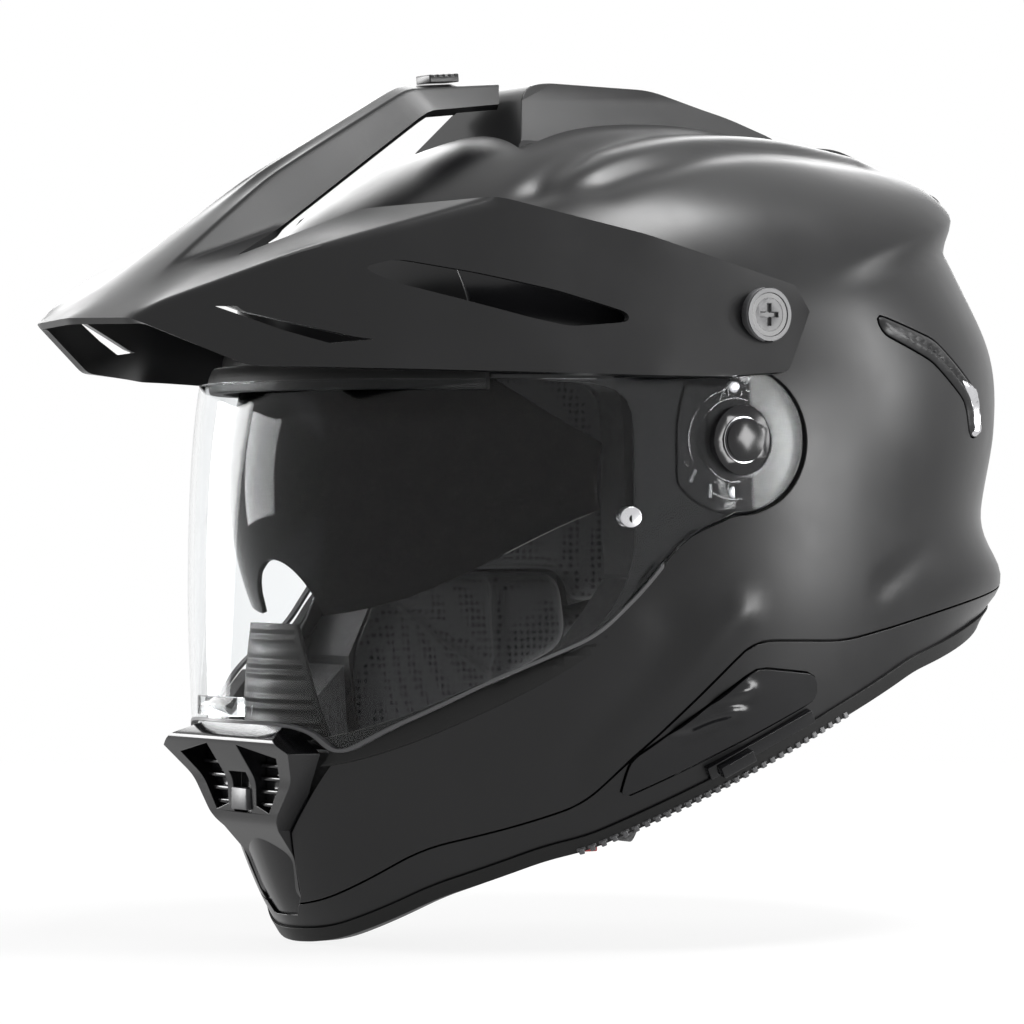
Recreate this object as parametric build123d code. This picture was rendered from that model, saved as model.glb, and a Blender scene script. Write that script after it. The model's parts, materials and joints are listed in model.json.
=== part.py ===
from build123d import *

import math
import os

# A dual sport helmet, in millimetres. +Z is up as worn, the face looks along -Y, the wearer's left is +X.
# The origin is the centre of the wearer's head, on the mid plane.

# Driving sizes of the outer shell, measured from the head centre
SHELL_HALF_WIDTH = 128.0
SHELL_FRONT = 160.0
SHELL_REAR = 160.0
CROWN_HEIGHT = 150.0
CHIN_DROP = 166.0
WIDEST_SHARE = 0.10  # where the shell is widest, as a share of the rear length

# Walls and layers, from the outside in
SHELL_WALL = 4.0
FIT_GAP = 0.4  # between a layer and the next
FOAM_SIDE = 32.0
FOAM_ENDS = 29.0
FOAM_TOP = 23.0
PAD_SIDE = 9.0
PAD_ENDS = 9.0
PAD_TOP = 9.0
PANEL_STEP = 1.2  # how far trims and gaskets stand proud of the shell
SEAM_GAP = 0.4  # between neighbouring panels
OVERRUN = 20.0  # how far a cutting tool runs past what it cuts

# Face shield
SHIELD_WALL = 2.2
SHIELD_PROUD = 3.6  # how far its inner face runs ahead of its own row of shares
SHIELD_SIDE = 0.5  # its outer face, inside the shell's widest line
ARM_SETBACK = 2.4  # the arm's outer face at the pivot, inside the shell's widest line
SHIELD_OPEN_DEG = 34.0
ARM_PATH_SHARE = 0.75
ARM_PATH_STEPS = 4
PLATE_DEPTH = 7.6  # shell's widest line down to the base plate's face
BASE_PLATE_WALL = 3.6
PLATE_SINK = 1.6
ARM_RADIUS = 26.0
RECESS_GAP = 1.4  # round the arm, to the edge of the recess
HUB_RADIUS = 12.6
HUB_FLANGE_RADIUS = 14.8
HUB_PROUD = 0.6
AXLE_RADIUS = 6.5
AXLE_HEAD_RADIUS = 8.0
AXLE_HEAD_HEIGHT = 1.4
RUNNING_GAP = 0.08
END_GAP = 0.5
LENS_PIN_RADIUS = 3.8
LENS_PIN_PROUD = 1.0
TAB_HALF_WIDTH = 15.0
TAB_HEIGHT = 7.0
TAB_PROUD = 3.2
GASKET_LIP = 5.0
GASKET_GAP = 0.9
PLATE_SCREW_RADIUS = 2.4
PLATE_SCREW_LENGTH = 3.0

# Sun visor
SUN_FRONT_DEPTH = 36.0  # shell's front down to the visor's front
SUN_SIDE_DEPTH = 28.0  # shell's widest line down to the visor's own widest line
SUN_END_DEPTH = 31.0  # shell's widest line down to the visor's flat ends
SUN_WALL = 2.0
SUN_TOP_DEG = 30.0
SUN_LOW_DEG = -24.0
SUN_SWING_DEG = 44.0
SUN_SPARE_DEG = 5.0
SUN_SLOT_GAP = 1.6
SUN_SQUARENESS = 2.2
SUN_STEPS = 12
SUN_HUB = 4.0
SUN_ARM_RADIUS = 9.0
SUN_PIN_RADIUS = 3.0
SUN_PIN_LENGTH = 6.0
NOSE_RADIUS = 22.0
LEVER_TRAVEL = 25.0
LEVER_LENGTH = 14.0
LEVER_HEIGHT = 4.4
LEVER_THICKNESS = 4.0
TRACK_LENGTH = 46.0
TRACK_HEIGHT = 5.0
TRACK_THICKNESS = 3.0
TRACK_SINK = 2.0

# Peak and its fasteners
PEAK_WALL = 2.6
WING_STANDOFF = 3.0  # between the shell and the wing's tail
FASTENER_RADIUS = 10.0
FASTENER_HEIGHT = 3.4
NOTCH_RADIUS = 1.8
CROSS_LENGTH = 8.0
CROSS_WIDTH = 1.8
CROSS_DEPTH = 1.4
BOSS_RADIUS = 12.5
GROMMET_RADIUS = 11.0
BOLT_RADIUS = 3.0
BOLT_GRIP = 3.0
SLIDER_LENGTH = 13.0
SLIDER_HALF_WIDTH = 5.0
SLIDER_HEIGHT = 3.2
SLIDER_RIDGES = 5

# Chin vent
SHUTTER_HALF_WIDTH = 5.5
SHUTTER_HEIGHT = 8.0
SHUTTER_TRAVEL = 5.0
SHUTTER_DEPTH = 3.0
SHUTTER_PROUD = 1.2
SLAT_COUNT = 5
SLAT_WALL = 1.6
GRILLE_DEPTH = 4.0

# Trims, straps and small pieces
RIM_TRIM = 2.6
RIM_TRIM_RISE = 3.0
GUARD_HALF_WIDTH = 33.0
GUARD_WALL = 2.6
GUARD_INSET = 14.0
CURTAIN_WIDTH = 34.0
CURTAIN_WALL = 2.4
STRAP_WALL = 2.0
STRAP_WIDTH = 20.0
STRAP_REACH = 34.0
STRAP_DROP = 8.0
RIVET_RADIUS = 3.0
RIVET_HEIGHT = 1.6
BUCKLE_LENGTH = 24.0
TONGUE_LENGTH = 16.0
BUCKLE_WALL = 3.0
TAB_STRAP_WIDTH = 14.0
TAB_STRAP_WALL = 2.4
TAB_STRAP_DROP = 20.0

# Rows of the shell: height (of crown height or chin drop), front and rear reach, half width,
# squareness of the front and of the rear, and the lean of the surface in degrees
LEVEL_SHARES = (
    (-1.00, 0.780, 0.62, 0.60, 1.80, 2.20, 0),
    (-0.85, 0.870, 0.72, 0.76, 1.80, 2.20, 0),
    (-0.66, 0.945, 0.82, 0.885, 1.80, 2.25, 0),
    (-0.48, 0.990, 0.89, 0.945, 1.85, 2.30, 0),
    (-0.24, 0.985, 0.915, 0.985, 1.85, 2.30, 0),
    (0.00, 0.970, 0.935, 1.000, 1.85, 2.30, 0),
    (0.22, 0.950, 0.985, 1.000, 1.88, 2.30, 5),
    (0.40, 0.915, 0.985, 0.975, 2.00, 2.30, 15),
    (0.57, 0.840, 0.915, 0.910, 2.15, 2.30, 28),
    (0.74, 0.710, 0.840, 0.785, 2.20, 2.30, 42),
    (0.87, 0.530, 0.750, 0.600, 2.10, 2.20, 57),
    (0.955, 0.330, 0.600, 0.385, 2.10, 2.10, 72),
    (1.00, 0.140, 0.400, 0.170, 2.00, 2.00, 86),
)
OUTLINE_POINTS = 32

# Rows of the face shield: height, front reach, half width, squareness
SHIELD_ROW_SHARES = (
    (-0.68, 0.975, 0.960, 1.95), (-0.45, 0.980, 0.985, 1.95), (-0.20, 0.975, 0.998, 2.05),
    (0.05, 0.963, 1.000, 2.10), (0.25, 0.940, 1.000, 2.15), (0.45, 0.900, 0.995, 2.20),
)

# Places in the side view, as shares of the shell's sizes
BOLT_BORE_SHARE = 0.85
PIVOT_SHARES = (-0.1106, 0.1813)
SUN_PIVOT_SHARES = (-0.125, 0.08)
FASTENER_SHARES = (-0.05, 0.484)
LENS_PIN_SHARES = (-0.375, -0.004)
PLATE_SCREW_SHARES = ((-0.110, 0.055), (-0.110, 0.310), (0.007, 0.180))

# Side view outlines, as shares of the shell's sizes
PORT_SHARES = (
    (-1.35, 0.335), (-0.60, 0.335), (-0.352, 0.315), (-0.345, -0.12), (-0.43, -0.265),
    (-0.62, -0.375), (-0.81, -0.475), (-0.93, -0.525), (-1.35, -0.56),
)
RIM_SHARES = (
    (-1.30, -0.965), (-0.80, -0.935), (-0.66, -0.825), (-0.475, -0.740), (-0.385, -0.715),
    (0.181, -0.435), (0.40, -0.335), (1.20, -0.130), (1.20, -1.40), (-1.30, -1.40),
)
SKIRT_TOP_SHARES = (
    (-1.30, -0.885), (-0.855, -0.870), (-0.71, -0.727), (-0.545, -0.675), (-0.42, -0.628),
    (-0.35, -0.545), (-0.067, -0.272), (0.18, -0.276), (1.20, -0.080), (1.20, -1.40), (-1.30, -1.40),
)
POD_SHARES = ((-0.345, -0.618), (-0.335, -0.535), (-0.055, -0.335), (0.10, -0.350), (0.11, -0.403))
LENS_SHARES = (
    (-1.40, 0.330), (-0.42, 0.325), (-0.24, 0.345), (-0.13, 0.320), (-0.05, 0.10), (-0.11, 0.012),
    (-0.24, -0.04), (-0.335, -0.157), (-0.44, -0.262), (-0.645, -0.357), (-0.83, -0.467),
    (-0.906, -0.530), (-0.95, -0.460), (-1.40, -0.445),
)
EXHAUST_SHARES = (
    (0.30, 0.495), (0.49, 0.435), (0.645, 0.315), (0.665, 0.20), (0.62, 0.195), (0.60, 0.285),
    (0.47, 0.385), (0.31, 0.450),
)
FOAM_SHARES = (
    (-1.40, 0.380), (-0.40, 0.365), (-0.30, 0.300), (-0.29, -0.130), (0.28, -0.130), (0.30, -0.220),
    (1.30, 0.040), (1.30, 1.40), (-1.40, 1.40),
)
CHEEK_SHARES = (
    (-0.29, -0.140), (0.27, -0.140), (0.285, -0.310), (-0.40, -0.615), (-0.42, -0.330), (-0.35, -0.240),
)
CHIN_SHARES = (
    (-0.44, -0.350), (-0.62, -0.450), (-0.74, -0.520), (-1.40, -0.520), (-1.40, -0.850), (-0.80, -0.835),
    (-0.66, -0.745), (-0.44, -0.660),
)
NECK_SHARES = ((0.315, -0.226), (1.30, 0.033), (1.30, -0.075), (0.315, -0.332))
GUARD_SHARES = ((-1.20, -0.240), (-0.60, -0.240), (-0.60, -0.516), (-1.20, -0.516))
CURTAIN_SHARES = ((-0.86, -0.895), (-0.66, -0.775), (-0.44, -0.690))

# The peak's cage, as shares: half width, front reach, height above the head centre
PEAK_POINT_SHARES = (
    (0.0, -1.412, 0.473), (0.281, -1.375, 0.467), (0.320, -1.331, 0.500),
    (0.0, -1.219, 0.603), (0.133, -1.213, 0.597), (0.281, -1.106, 0.620), (0.586, -1.081, 0.624),
    (0.484, -1.169, 0.353),
    (0.0, -0.923, 0.840), (0.070, -0.923, 0.830), (0.172, -0.938, 0.700), (0.469, -0.875, 0.733),
    (0.700, -0.875, 0.690), (0.760, -0.906, 0.345),
    (0.0, -0.543, 1.072), (0.063, -0.543, 1.062), (0.130, -0.520, 1.005), (0.790, -0.669, 0.757),
    (0.945, -0.575, 0.337),
    (0.0, -0.290, 1.095), (0.063, -0.290, 1.085), (0.130, -0.325, 1.030), (0.905, -0.325, 0.672),
    (1.000, -0.356, 0.333),
    (1.010, -0.180, 0.333),
)
# The wing's tail lies along the shell: places in the side view
TAIL_SHARES = ((0.050, 0.560), (0.075, 0.495), (-0.005, 0.347))
PEAK_FACES = (
    (0, 1, 4, 3), (1, 2, 5, 4), (2, 6, 5), (1, 7, 2), (2, 7, 6), (3, 4, 9, 8), (4, 5, 10), (4, 10, 9),
    (8, 9, 15, 14), (9, 10, 16, 15), (14, 15, 20, 19), (15, 16, 21, 20), (5, 6, 12, 11), (11, 12, 17),
    (6, 7, 13, 12), (12, 13, 18, 17), (17, 18, 23, 22), (22, 23, 24, 27), (22, 27, 26, 25),
)
SLOT_SHARES = (
    (-0.960, 0.585), (-0.890, 0.605), (-0.725, 0.573), (-0.556, 0.533), (-0.400, 0.483),
    (-0.400, 0.460), (-0.540, 0.447), (-0.625, 0.467), (-0.900, 0.550),
)

# Housings: the outline from the side, then from the front (half width share, height share)
CHIN_VENT_SIDE_SHARES = (
    (-0.935, -0.452), (-1.025, -0.492), (-0.962, -0.585), (-0.958, -0.670), (-0.885, -0.755),
    (-0.858, -0.838), (-0.820, -0.885), (-0.790, -0.860), (-0.905, -0.600),
)
CHIN_VENT_FRONT_SHARES = (
    (0.203, -0.452), (0.360, -0.518), (0.156, -0.695), (0.109, -0.838), (0.060, -0.885),
)
CHIN_INLET_SHARES = ((0.085, -0.505), (0.275, -0.530), (0.150, -0.655), (0.080, -0.640))
INLET_DEPTH_SHARE = 0.925
TOP_VENT_SIDE_SHARES = (
    (-0.375, 0.880), (-0.262, 1.075), (-0.200, 1.090), (0.10, 1.085), (0.30, 1.020),
    (0.42, 0.960), (0.10, 0.880),
)
TOP_VENT_FRONT_SHARES = ((0.300, 0.860), (0.290, 0.930), (0.170, 1.040), (0.125, 1.110))
REAR_VENT_SIDE_SHARES = (
    (0.36, 0.955), (0.60, 0.950), (0.881, 0.826), (0.862, 0.770), (0.810, 0.680), (0.56, 0.700),
)
REAR_VENT_FRONT_SHARES = ((0.330, 0.640), (0.330, 0.780), (0.230, 0.960))
SLIDER_PLACE_SHARE = 0.45  # along the spine's rear facet
LEVER_SHARE = -0.10
STRAP_SHARE = 0.03
TAB_STRAP_SHARE = -0.36

# Sizes that follow from the ones above
FULL = SHELL_HALF_WIDTH + OVERRUN
SUN_RADIUS = SHELL_FRONT - SUN_FRONT_DEPTH
SUN_HALF_WIDTH = SHELL_HALF_WIDTH - SUN_SIDE_DEPTH
SUN_END = SHELL_HALF_WIDTH - SUN_END_DEPTH
PLATE_X = SHELL_HALF_WIDTH - PLATE_DEPTH
ARM_OUT = SHELL_HALF_WIDTH - ARM_SETBACK


def reach(share, minus, plus):
    """A signed share of the size on its own side."""
    return share * (plus if share > 0 else minus)


def side_point(y_share, z_share):
    return (reach(y_share, SHELL_FRONT, SHELL_REAR), reach(z_share, CHIN_DROP, CROWN_HEIGHT))


def skin_rows(side=0.0, ends=0.0, top=0.0):
    """Each row of the shell, moved inwards by the three insets."""
    rows = []
    for height, front, rear, width, blunt_front, blunt_rear, lean in LEVEL_SHARES:
        flat, steep = math.cos(math.radians(lean)), math.sin(math.radians(lean))
        rows.append(
            (
                reach(height, CHIN_DROP, CROWN_HEIGHT) - top * steep,
                front * SHELL_FRONT - ends * flat,
                rear * SHELL_REAR - ends * flat,
                width * SHELL_HALF_WIDTH - side * flat,
                blunt_front,
                blunt_rear,
            )
        )
    return rows


def egg_ring(height, front, rear, half_width, blunt_front, blunt_rear):
    """Corners of a closed outline at one height, widest at one line and blunter or sharper at its ends."""
    middle = WIDEST_SHARE * SHELL_REAR
    corners = []
    for i in range(OUTLINE_POINTS):
        turn = 2 * math.pi * (i + 1 / 2) / OUTLINE_POINTS
        ahead, across = math.cos(turn), math.sin(turn)
        blunt = blunt_front if ahead > 0 else blunt_rear
        length = (front + middle) if ahead > 0 else (rear - middle)
        x = half_width * math.copysign(abs(across) ** (2 / blunt), across)
        y = middle - length * math.copysign(abs(ahead) ** (2 / blunt), ahead)
        corners.append(Vector(x, y, height))
    return corners


def stacked(rows):
    """A closed solid of flat facets through the outlines of all rows."""
    rings = [egg_ring(*row) for row in rows]
    faces = [rings[0], rings[-1]]
    for low, high in zip(rings, rings[1:]):
        for i in range(OUTLINE_POINTS):
            j = (i + 1) % OUTLINE_POINTS
            # the left half's facets are split the other way, so that both halves mirror each other
            if i < OUTLINE_POINTS // 2:
                faces += [[low[i], high[i], high[j]], [low[i], high[j], low[j]]]
            else:
                faces += [[low[i], high[i], low[j]], [low[j], high[i], high[j]]]
    return Solid(Shell([Face(Wire.make_polygon(f)) for f in faces]))


def skin_body(side=0.0, ends=None, top=None):
    """The solid inside the shell's surface, inset by the given depths."""
    ends = side if ends is None else ends
    top = side if top is None else top
    return stacked(skin_rows(side, ends, top))


def skin_x(y, z, side=0.0):
    """Half width of the shell's surface at a place in the side view."""
    rows = skin_rows(side, side, side)
    low = max(i for i in range(len(rows) - 1) if rows[i][0] <= z)
    share = (z - rows[low][0]) / (rows[low + 1][0] - rows[low][0])
    front, rear, width, blunt_front, blunt_rear = (
        a + (b - a) * share for a, b in zip(rows[low][1:], rows[low + 1][1:])
    )
    middle = WIDEST_SHARE * SHELL_REAR
    ahead = y < middle
    blunt = blunt_front if ahead else blunt_rear
    length = (front + middle) if ahead else (rear - middle)
    left = 1 - min(1.0, abs(y - middle) / length) ** blunt
    return width * left ** (1 / blunt)


def side_prism(shares, x_low, x_high, radius=0.0, grow=0.0):
    """A side view outline, drawn in shares and run across the helmet from x_low to x_high."""
    return point_prism([side_point(*p) for p in shares], x_low, x_high, radius, grow)


def point_prism(points, x_low, x_high, radius=0.0, grow=0.0):
    face = Face(Wire.make_polygon([Vector(0, y, z) for y, z in points]))
    if face.normal_at().X < 0:
        face = -face
    if radius:
        face = face.fillet_2d(radius, face.vertices())
    if grow:
        face = Face(face.outer_wire().offset_2d(grow))
        if face.normal_at().X < 0:
            face = -face
    return Pos(x_low, 0, 0) * extrude(face, amount=x_high - x_low, dir=(1, 0, 0))


def both_sides(solid):
    return [solid, mirror(solid, about=Plane.YZ)]


def one(shape):
    """The largest solid of a cut, as one shape."""
    return max(shape.solids(), key=lambda s: s.volume)


def disc(radius, x_low, x_high, centre):
    """A round disc across the helmet, at a point of the side view."""
    return Pos((x_low + x_high) / 2, *centre) * Rot(0, 90, 0) * Cylinder(radius, x_high - x_low)


def region(shares, grow=0.0, half=FULL):
    """A side view outline run right across the helmet, grown or shrunk by a margin."""
    return side_prism(shares, -half, half, grow=grow)


def region_below(shares, drop=0.0):
    """Everything under a line of the side view, moved down by drop."""
    points = [(y, z - drop) for y, z in (side_point(*p) for p in shares)]
    return point_prism(points, -FULL, FULL)


def front_block(side_shares, front_shares, grow=0.0):
    """A housing: its outline from the side, narrowed by its outline from the front."""
    side = region(side_shares, grow)
    right = [(x * SHELL_HALF_WIDTH, reach(z, CHIN_DROP, CROWN_HEIGHT)) for x, z in front_shares]
    ring = right + [(-x, z) for x, z in reversed(right)]
    return side & front_prism(ring, grow)


def front_prism(points, grow=0.0):
    face = Face(Wire.make_polygon([Vector(x, 0, z) for x, z in points]))
    if face.normal_at().Y < 0:
        face = -face
    if grow:
        face = Face(face.outer_wire().offset_2d(grow))
        if face.normal_at().Y < 0:
            face = -face
    depth = SHELL_FRONT + SHELL_REAR + OVERRUN
    return Pos(0, -depth, 0) * extrude(face, amount=2 * depth, dir=(0, 1, 0))


def thick_sheet(points, faces, wall):
    """A closed solid from a faceted sheet and a copy of it moved inwards along the corners' normals."""
    tris = [(f[0], f[i], f[i + 1]) for f in faces for i in range(1, len(f) - 1)]
    normals = [Vector(0, 0, 0) for _ in points]
    for a, b, c in tris:
        n = (points[b] - points[a]).cross(points[c] - points[a])
        for i in (a, b, c):
            normals[i] = normals[i] + n.normalized()
    inner = [p - n.normalized() * wall if n.length else p for p, n in zip(points, normals)]
    count = {}
    for t in tris:
        for i in range(3):
            edge = (t[i], t[(i + 1) % 3])
            count[edge] = count.get(edge, 0) + 1
    skins = [[points[i] for i in t] for t in tris] + [[inner[i] for i in reversed(t)] for t in tris]
    for a, b in [e for e in count if (e[1], e[0]) not in count]:
        skins.append([points[b], points[a], inner[a]])
        skins.append([points[b], inner[a], inner[b]])
    shell = Shell([Face(Wire.make_polygon(s)) for s in skins])
    return Solid(shell)


def peak_cage():
    """Corners and facets of the peak's left half, then the same mirrored to the right."""
    points = [
        Vector(x * SHELL_HALF_WIDTH, y * SHELL_FRONT, reach(z, CHIN_DROP, CROWN_HEIGHT))
        for x, y, z in PEAK_POINT_SHARES
    ]
    for y, z in (side_point(*p) for p in TAIL_SHARES):
        points.append(Vector(skin_x(y, z) + WING_STANDOFF + PEAK_WALL, y, z))
    count = len(points)
    twin = {i: (i if abs(p.X) == 0 else count + k) for k, (i, p) in enumerate(list(enumerate(points)))}
    all_points = points + [Vector(-p.X, p.Y, p.Z) for p in points]
    faces = list(PEAK_FACES) + [tuple(twin[i] for i in reversed(f)) for f in PEAK_FACES]
    return all_points, faces


def shield_rows(inset):
    rows = []
    for height, front, width, blunt in SHIELD_ROW_SHARES:
        rows.append(
            (
                reach(height, CHIN_DROP, CROWN_HEIGHT),
                front * SHELL_FRONT + SHIELD_PROUD + SHIELD_WALL - inset,
                SHELL_REAR / 2,
                width * SHELL_HALF_WIDTH - SHIELD_SIDE - inset,
                blunt,
                blunt,
            )
        )
    return rows


def shield_body(inset=0.0):
    return stacked(shield_rows(inset))


def arm_recess(extra):
    """The round seat of the shield's arm and the way it comes in from the front, from the side."""
    y, z = side_point(*PIVOT_SHARES)
    seat = disc(ARM_RADIUS + RECESS_GAP + extra, 0, FULL, (y, z))
    return seat


def make_bodies():
    """The nested surfaces that every layer is cut from."""
    wall, fit = SHELL_WALL, FIT_GAP
    foam = wall + fit
    pad = foam + fit
    return {
        "skin": skin_body(),
        "inside": skin_body(wall),
        "foam_out": skin_body(foam),
        "foam_in": skin_body(foam + FOAM_SIDE, foam + FOAM_ENDS, foam + FOAM_TOP),
        "pad_out": skin_body(pad + FOAM_SIDE, pad + FOAM_ENDS, pad + FOAM_TOP),
        "pad_in": skin_body(
            pad + FOAM_SIDE + PAD_SIDE, pad + FOAM_ENDS + PAD_ENDS, pad + FOAM_TOP + PAD_TOP
        ),
        "proud": skin_body(-PANEL_STEP),
    }


PIVOT = side_point(*PIVOT_SHARES)
SUN_PIVOT = side_point(*SUN_PIVOT_SHARES)
FASTENER = side_point(*FASTENER_SHARES)
SHELL = make_bodies()


def layer(outer, inner):
    return SHELL[outer] - SHELL[inner]


def band(shares, rise, drop):
    """What lies between a line of the side view moved up by rise and the same line moved down by drop."""
    return region_below(shares, -rise) - region_below(shares, drop)


# Shell, skirt and trims


def make_shell(vents, trims):
    shell = layer("skin", "inside") - region(PORT_SHARES)
    shell -= region_below(SKIRT_TOP_SHARES)
    for cut in seat_cuts() + arm_path():
        shell -= cut
    for cut in vents + trims:
        shell -= cut
    return one(shell)


def seat_cuts():
    """The seats of the shield's arms and the bores of the peak's bolts, both sides."""
    seat = arm_recess(0) & half_space(PLATE_X - BASE_PLATE_WALL - END_GAP)
    bolt = disc(BOLT_RADIUS + SEAM_GAP, BOLT_BORE_SHARE * SHELL_HALF_WIDTH, FULL, FASTENER)
    return both_sides(seat) + both_sides(bolt)


def arm_path():
    """What the shield's rear ends sweep through on their way up, with a little room inside them."""
    ends = region(LENS_SHARES, RECESS_GAP) - shield_body(SHIELD_WALL + END_GAP)
    reach_back = SHELL_FRONT * ARM_PATH_SHARE
    ends = ends & (Pos(0, -reach_back / 2, 0) * Box(2 * FULL, reach_back, 4 * SHELL_FRONT))
    axis = Axis((0, *PIVOT), (-1, 0, 0))
    return [ends.rotate(axis, SHIELD_OPEN_DEG * i / ARM_PATH_STEPS) for i in range(ARM_PATH_STEPS + 1)]


def half_space(x_low):
    """Everything on the wearer's left of a side view plane."""
    depth = SHELL_FRONT + SHELL_REAR + OVERRUN
    return Pos((x_low + FULL) / 2, 0, 0) * Box(FULL - x_low, 2 * depth, 2 * depth)


def make_skirt(cuts):
    skirt = layer("skin", "inside") & region_below(SKIRT_TOP_SHARES, SEAM_GAP)
    skirt -= region_below(RIM_SHARES)
    for cut in cuts:
        skirt -= cut
    return one(skirt)


def make_rim_trim():
    trim = (SHELL["proud"] - skin_body(SHELL_WALL + PANEL_STEP)) & band(RIM_SHARES, RIM_TRIM_RISE, RIM_TRIM)
    return one(trim - (layer("skin", "inside") - region_below(RIM_SHARES)))


def make_gasket(shell, vent):
    ring = region(PORT_SHARES, GASKET_LIP) - region(PORT_SHARES, -GASKET_LIP)
    lip = (shield_body(SHIELD_WALL + GASKET_GAP) & ring) - SHELL["inside"]
    lip -= shell
    for cut in [vent] + arm_path():
        lip -= cut
    return one(lip)


def make_pods():
    """The covers over the speaker pods, one each side."""
    pod = (SHELL["proud"] - skin_body(SHELL_WALL - PANEL_STEP)) & side_prism(POD_SHARES, 0, FULL)
    return both_sides(pod)


def make_exhaust_trims():
    strip = (SHELL["proud"] - skin_body(SHELL_WALL / 2)) & side_prism(EXHAUST_SHARES, 0, FULL)
    return both_sides(strip)


# Face shield and its pivots


def make_base_plate():
    plate = disc(ARM_RADIUS + RECESS_GAP - SEAM_GAP, PLATE_X - BASE_PLATE_WALL, PLATE_X, PIVOT)
    plate = plate & skin_body(PLATE_SINK)
    axle_end = ARM_OUT + HUB_PROUD + END_GAP
    axle = disc(AXLE_RADIUS, PLATE_X - BASE_PLATE_WALL, axle_end, PIVOT)
    head = disc(AXLE_HEAD_RADIUS, axle_end, axle_end + AXLE_HEAD_HEIGHT, PIVOT)
    plate = plate + axle + head
    for y, z in (side_point(*p) for p in PLATE_SCREW_SHARES):
        plate -= disc(PLATE_SCREW_RADIUS, PLATE_X - PLATE_SCREW_LENGTH / 2, PLATE_X + END_GAP, (y, z))
    return plate


def make_plate_screws():
    """Three small screws in each base plate, sunk in their seats."""
    heads = []
    for y, z in (side_point(*p) for p in PLATE_SCREW_SHARES):
        heads += both_sides(disc(PLATE_SCREW_RADIUS, PLATE_X - PLATE_SCREW_LENGTH / 2, PLATE_X, (y, z)))
    return Compound(heads)


def make_hub():
    """The round gear that turns with the shield on the base plate's axle."""
    inner, outer = PLATE_X + END_GAP, ARM_OUT + HUB_PROUD
    flange = disc(HUB_FLANGE_RADIUS, inner, outer, PIVOT) & shield_body(SHIELD_WALL + SEAM_GAP)
    hub = flange + disc(HUB_RADIUS, inner, outer, PIVOT)
    return one(hub - disc(AXLE_RADIUS + RUNNING_GAP, inner - END_GAP, outer + END_GAP, PIVOT))


def make_shield():
    lens = shield_body() - shield_body(SHIELD_WALL)
    outline = region(LENS_SHARES)
    for arm in both_sides(disc(ARM_RADIUS, 0, FULL, PIVOT)):
        outline += arm
    lens = lens & outline
    bores = both_sides(disc(HUB_RADIUS + RUNNING_GAP, 0, FULL, PIVOT))
    bores += both_sides(disc(LENS_PIN_RADIUS, 0, FULL, side_point(*LENS_PIN_SHARES)))
    for bore in bores:
        lens -= bore
    return one(lens)


def make_lens_pins():
    """The round pins that carry the inner lens, one each side of the shield."""
    pin = (shield_body(-LENS_PIN_PROUD) - shield_body(SHIELD_WALL + LENS_PIN_PROUD / 2)) & disc(
        LENS_PIN_RADIUS, 0, FULL, side_point(*LENS_PIN_SHARES)
    )
    return Compound(both_sides(pin))


def make_shield_tab():
    """The lifting tab along the middle of the shield's lower edge."""
    low = reach(LENS_SHARES[-1][1], CHIN_DROP, CROWN_HEIGHT)
    box = Pos(0, -SHELL_FRONT, low + TAB_HEIGHT / 2 + END_GAP)
    tab = shield_body(-TAB_PROUD) - shield_body()
    return tab & box * Box(2 * TAB_HALF_WIDTH, SHELL_FRONT, TAB_HEIGHT)


# Sun visor


def sun_reach(x):
    return SUN_RADIUS * (1 - (abs(x) / SUN_HALF_WIDTH) ** SUN_SQUARENESS) ** (1 / SUN_SQUARENESS)


def sun_swept(grow, low_deg, top_deg):
    """The visor's wall turned about its own cross axis, with flat ends that run in to the axis."""
    end = SUN_END + grow
    steps = [SUN_END * math.sin(math.pi / 2 * i / SUN_STEPS) for i in range(-SUN_STEPS, SUN_STEPS + 1)]
    outer = [(x * end / SUN_END, -(sun_reach(x) + grow)) for x in steps]
    narrow = (SUN_END - SUN_WALL - grow) / SUN_END
    inner = [(x * narrow, -(sun_reach(x) - SUN_WALL - grow)) for x in reversed(steps)]
    hub = max(SUN_HUB - grow, SUN_HUB / 4)
    ring = [(-end, -hub)] + outer + [(end, -hub), (SUN_END * narrow, -hub)]
    ring += inner + [(-SUN_END * narrow, -hub)]
    face = Face(Wire.make_polygon([Vector(x, y, 0) for x, y in ring]))
    face = Rot(-low_deg, 0, 0) * face
    swept = revolve(face, axis=Axis((0, 0, 0), (-1, 0, 0)), revolution_arc=top_deg - low_deg)
    return Pos(0, *SUN_PIVOT) * swept


def make_sun_visor():
    visor = sun_swept(0, SUN_LOW_DEG, SUN_TOP_DEG)
    low = SUN_PIVOT[1] + SUN_RADIUS * math.sin(math.radians(SUN_LOW_DEG))
    nose = Pos(0, -SUN_RADIUS, low) * Rot(90, 0, 0) * Cylinder(NOSE_RADIUS, SUN_RADIUS)
    return one(visor - nose)


def make_sun_arms():
    arm = disc(SUN_ARM_RADIUS, SUN_END, SUN_END + SUN_WALL, SUN_PIVOT)
    arm += disc(SUN_PIN_RADIUS, SUN_END + SUN_WALL, SUN_END + SUN_WALL + SUN_PIN_LENGTH, SUN_PIVOT)
    return Compound(both_sides(arm))


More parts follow.
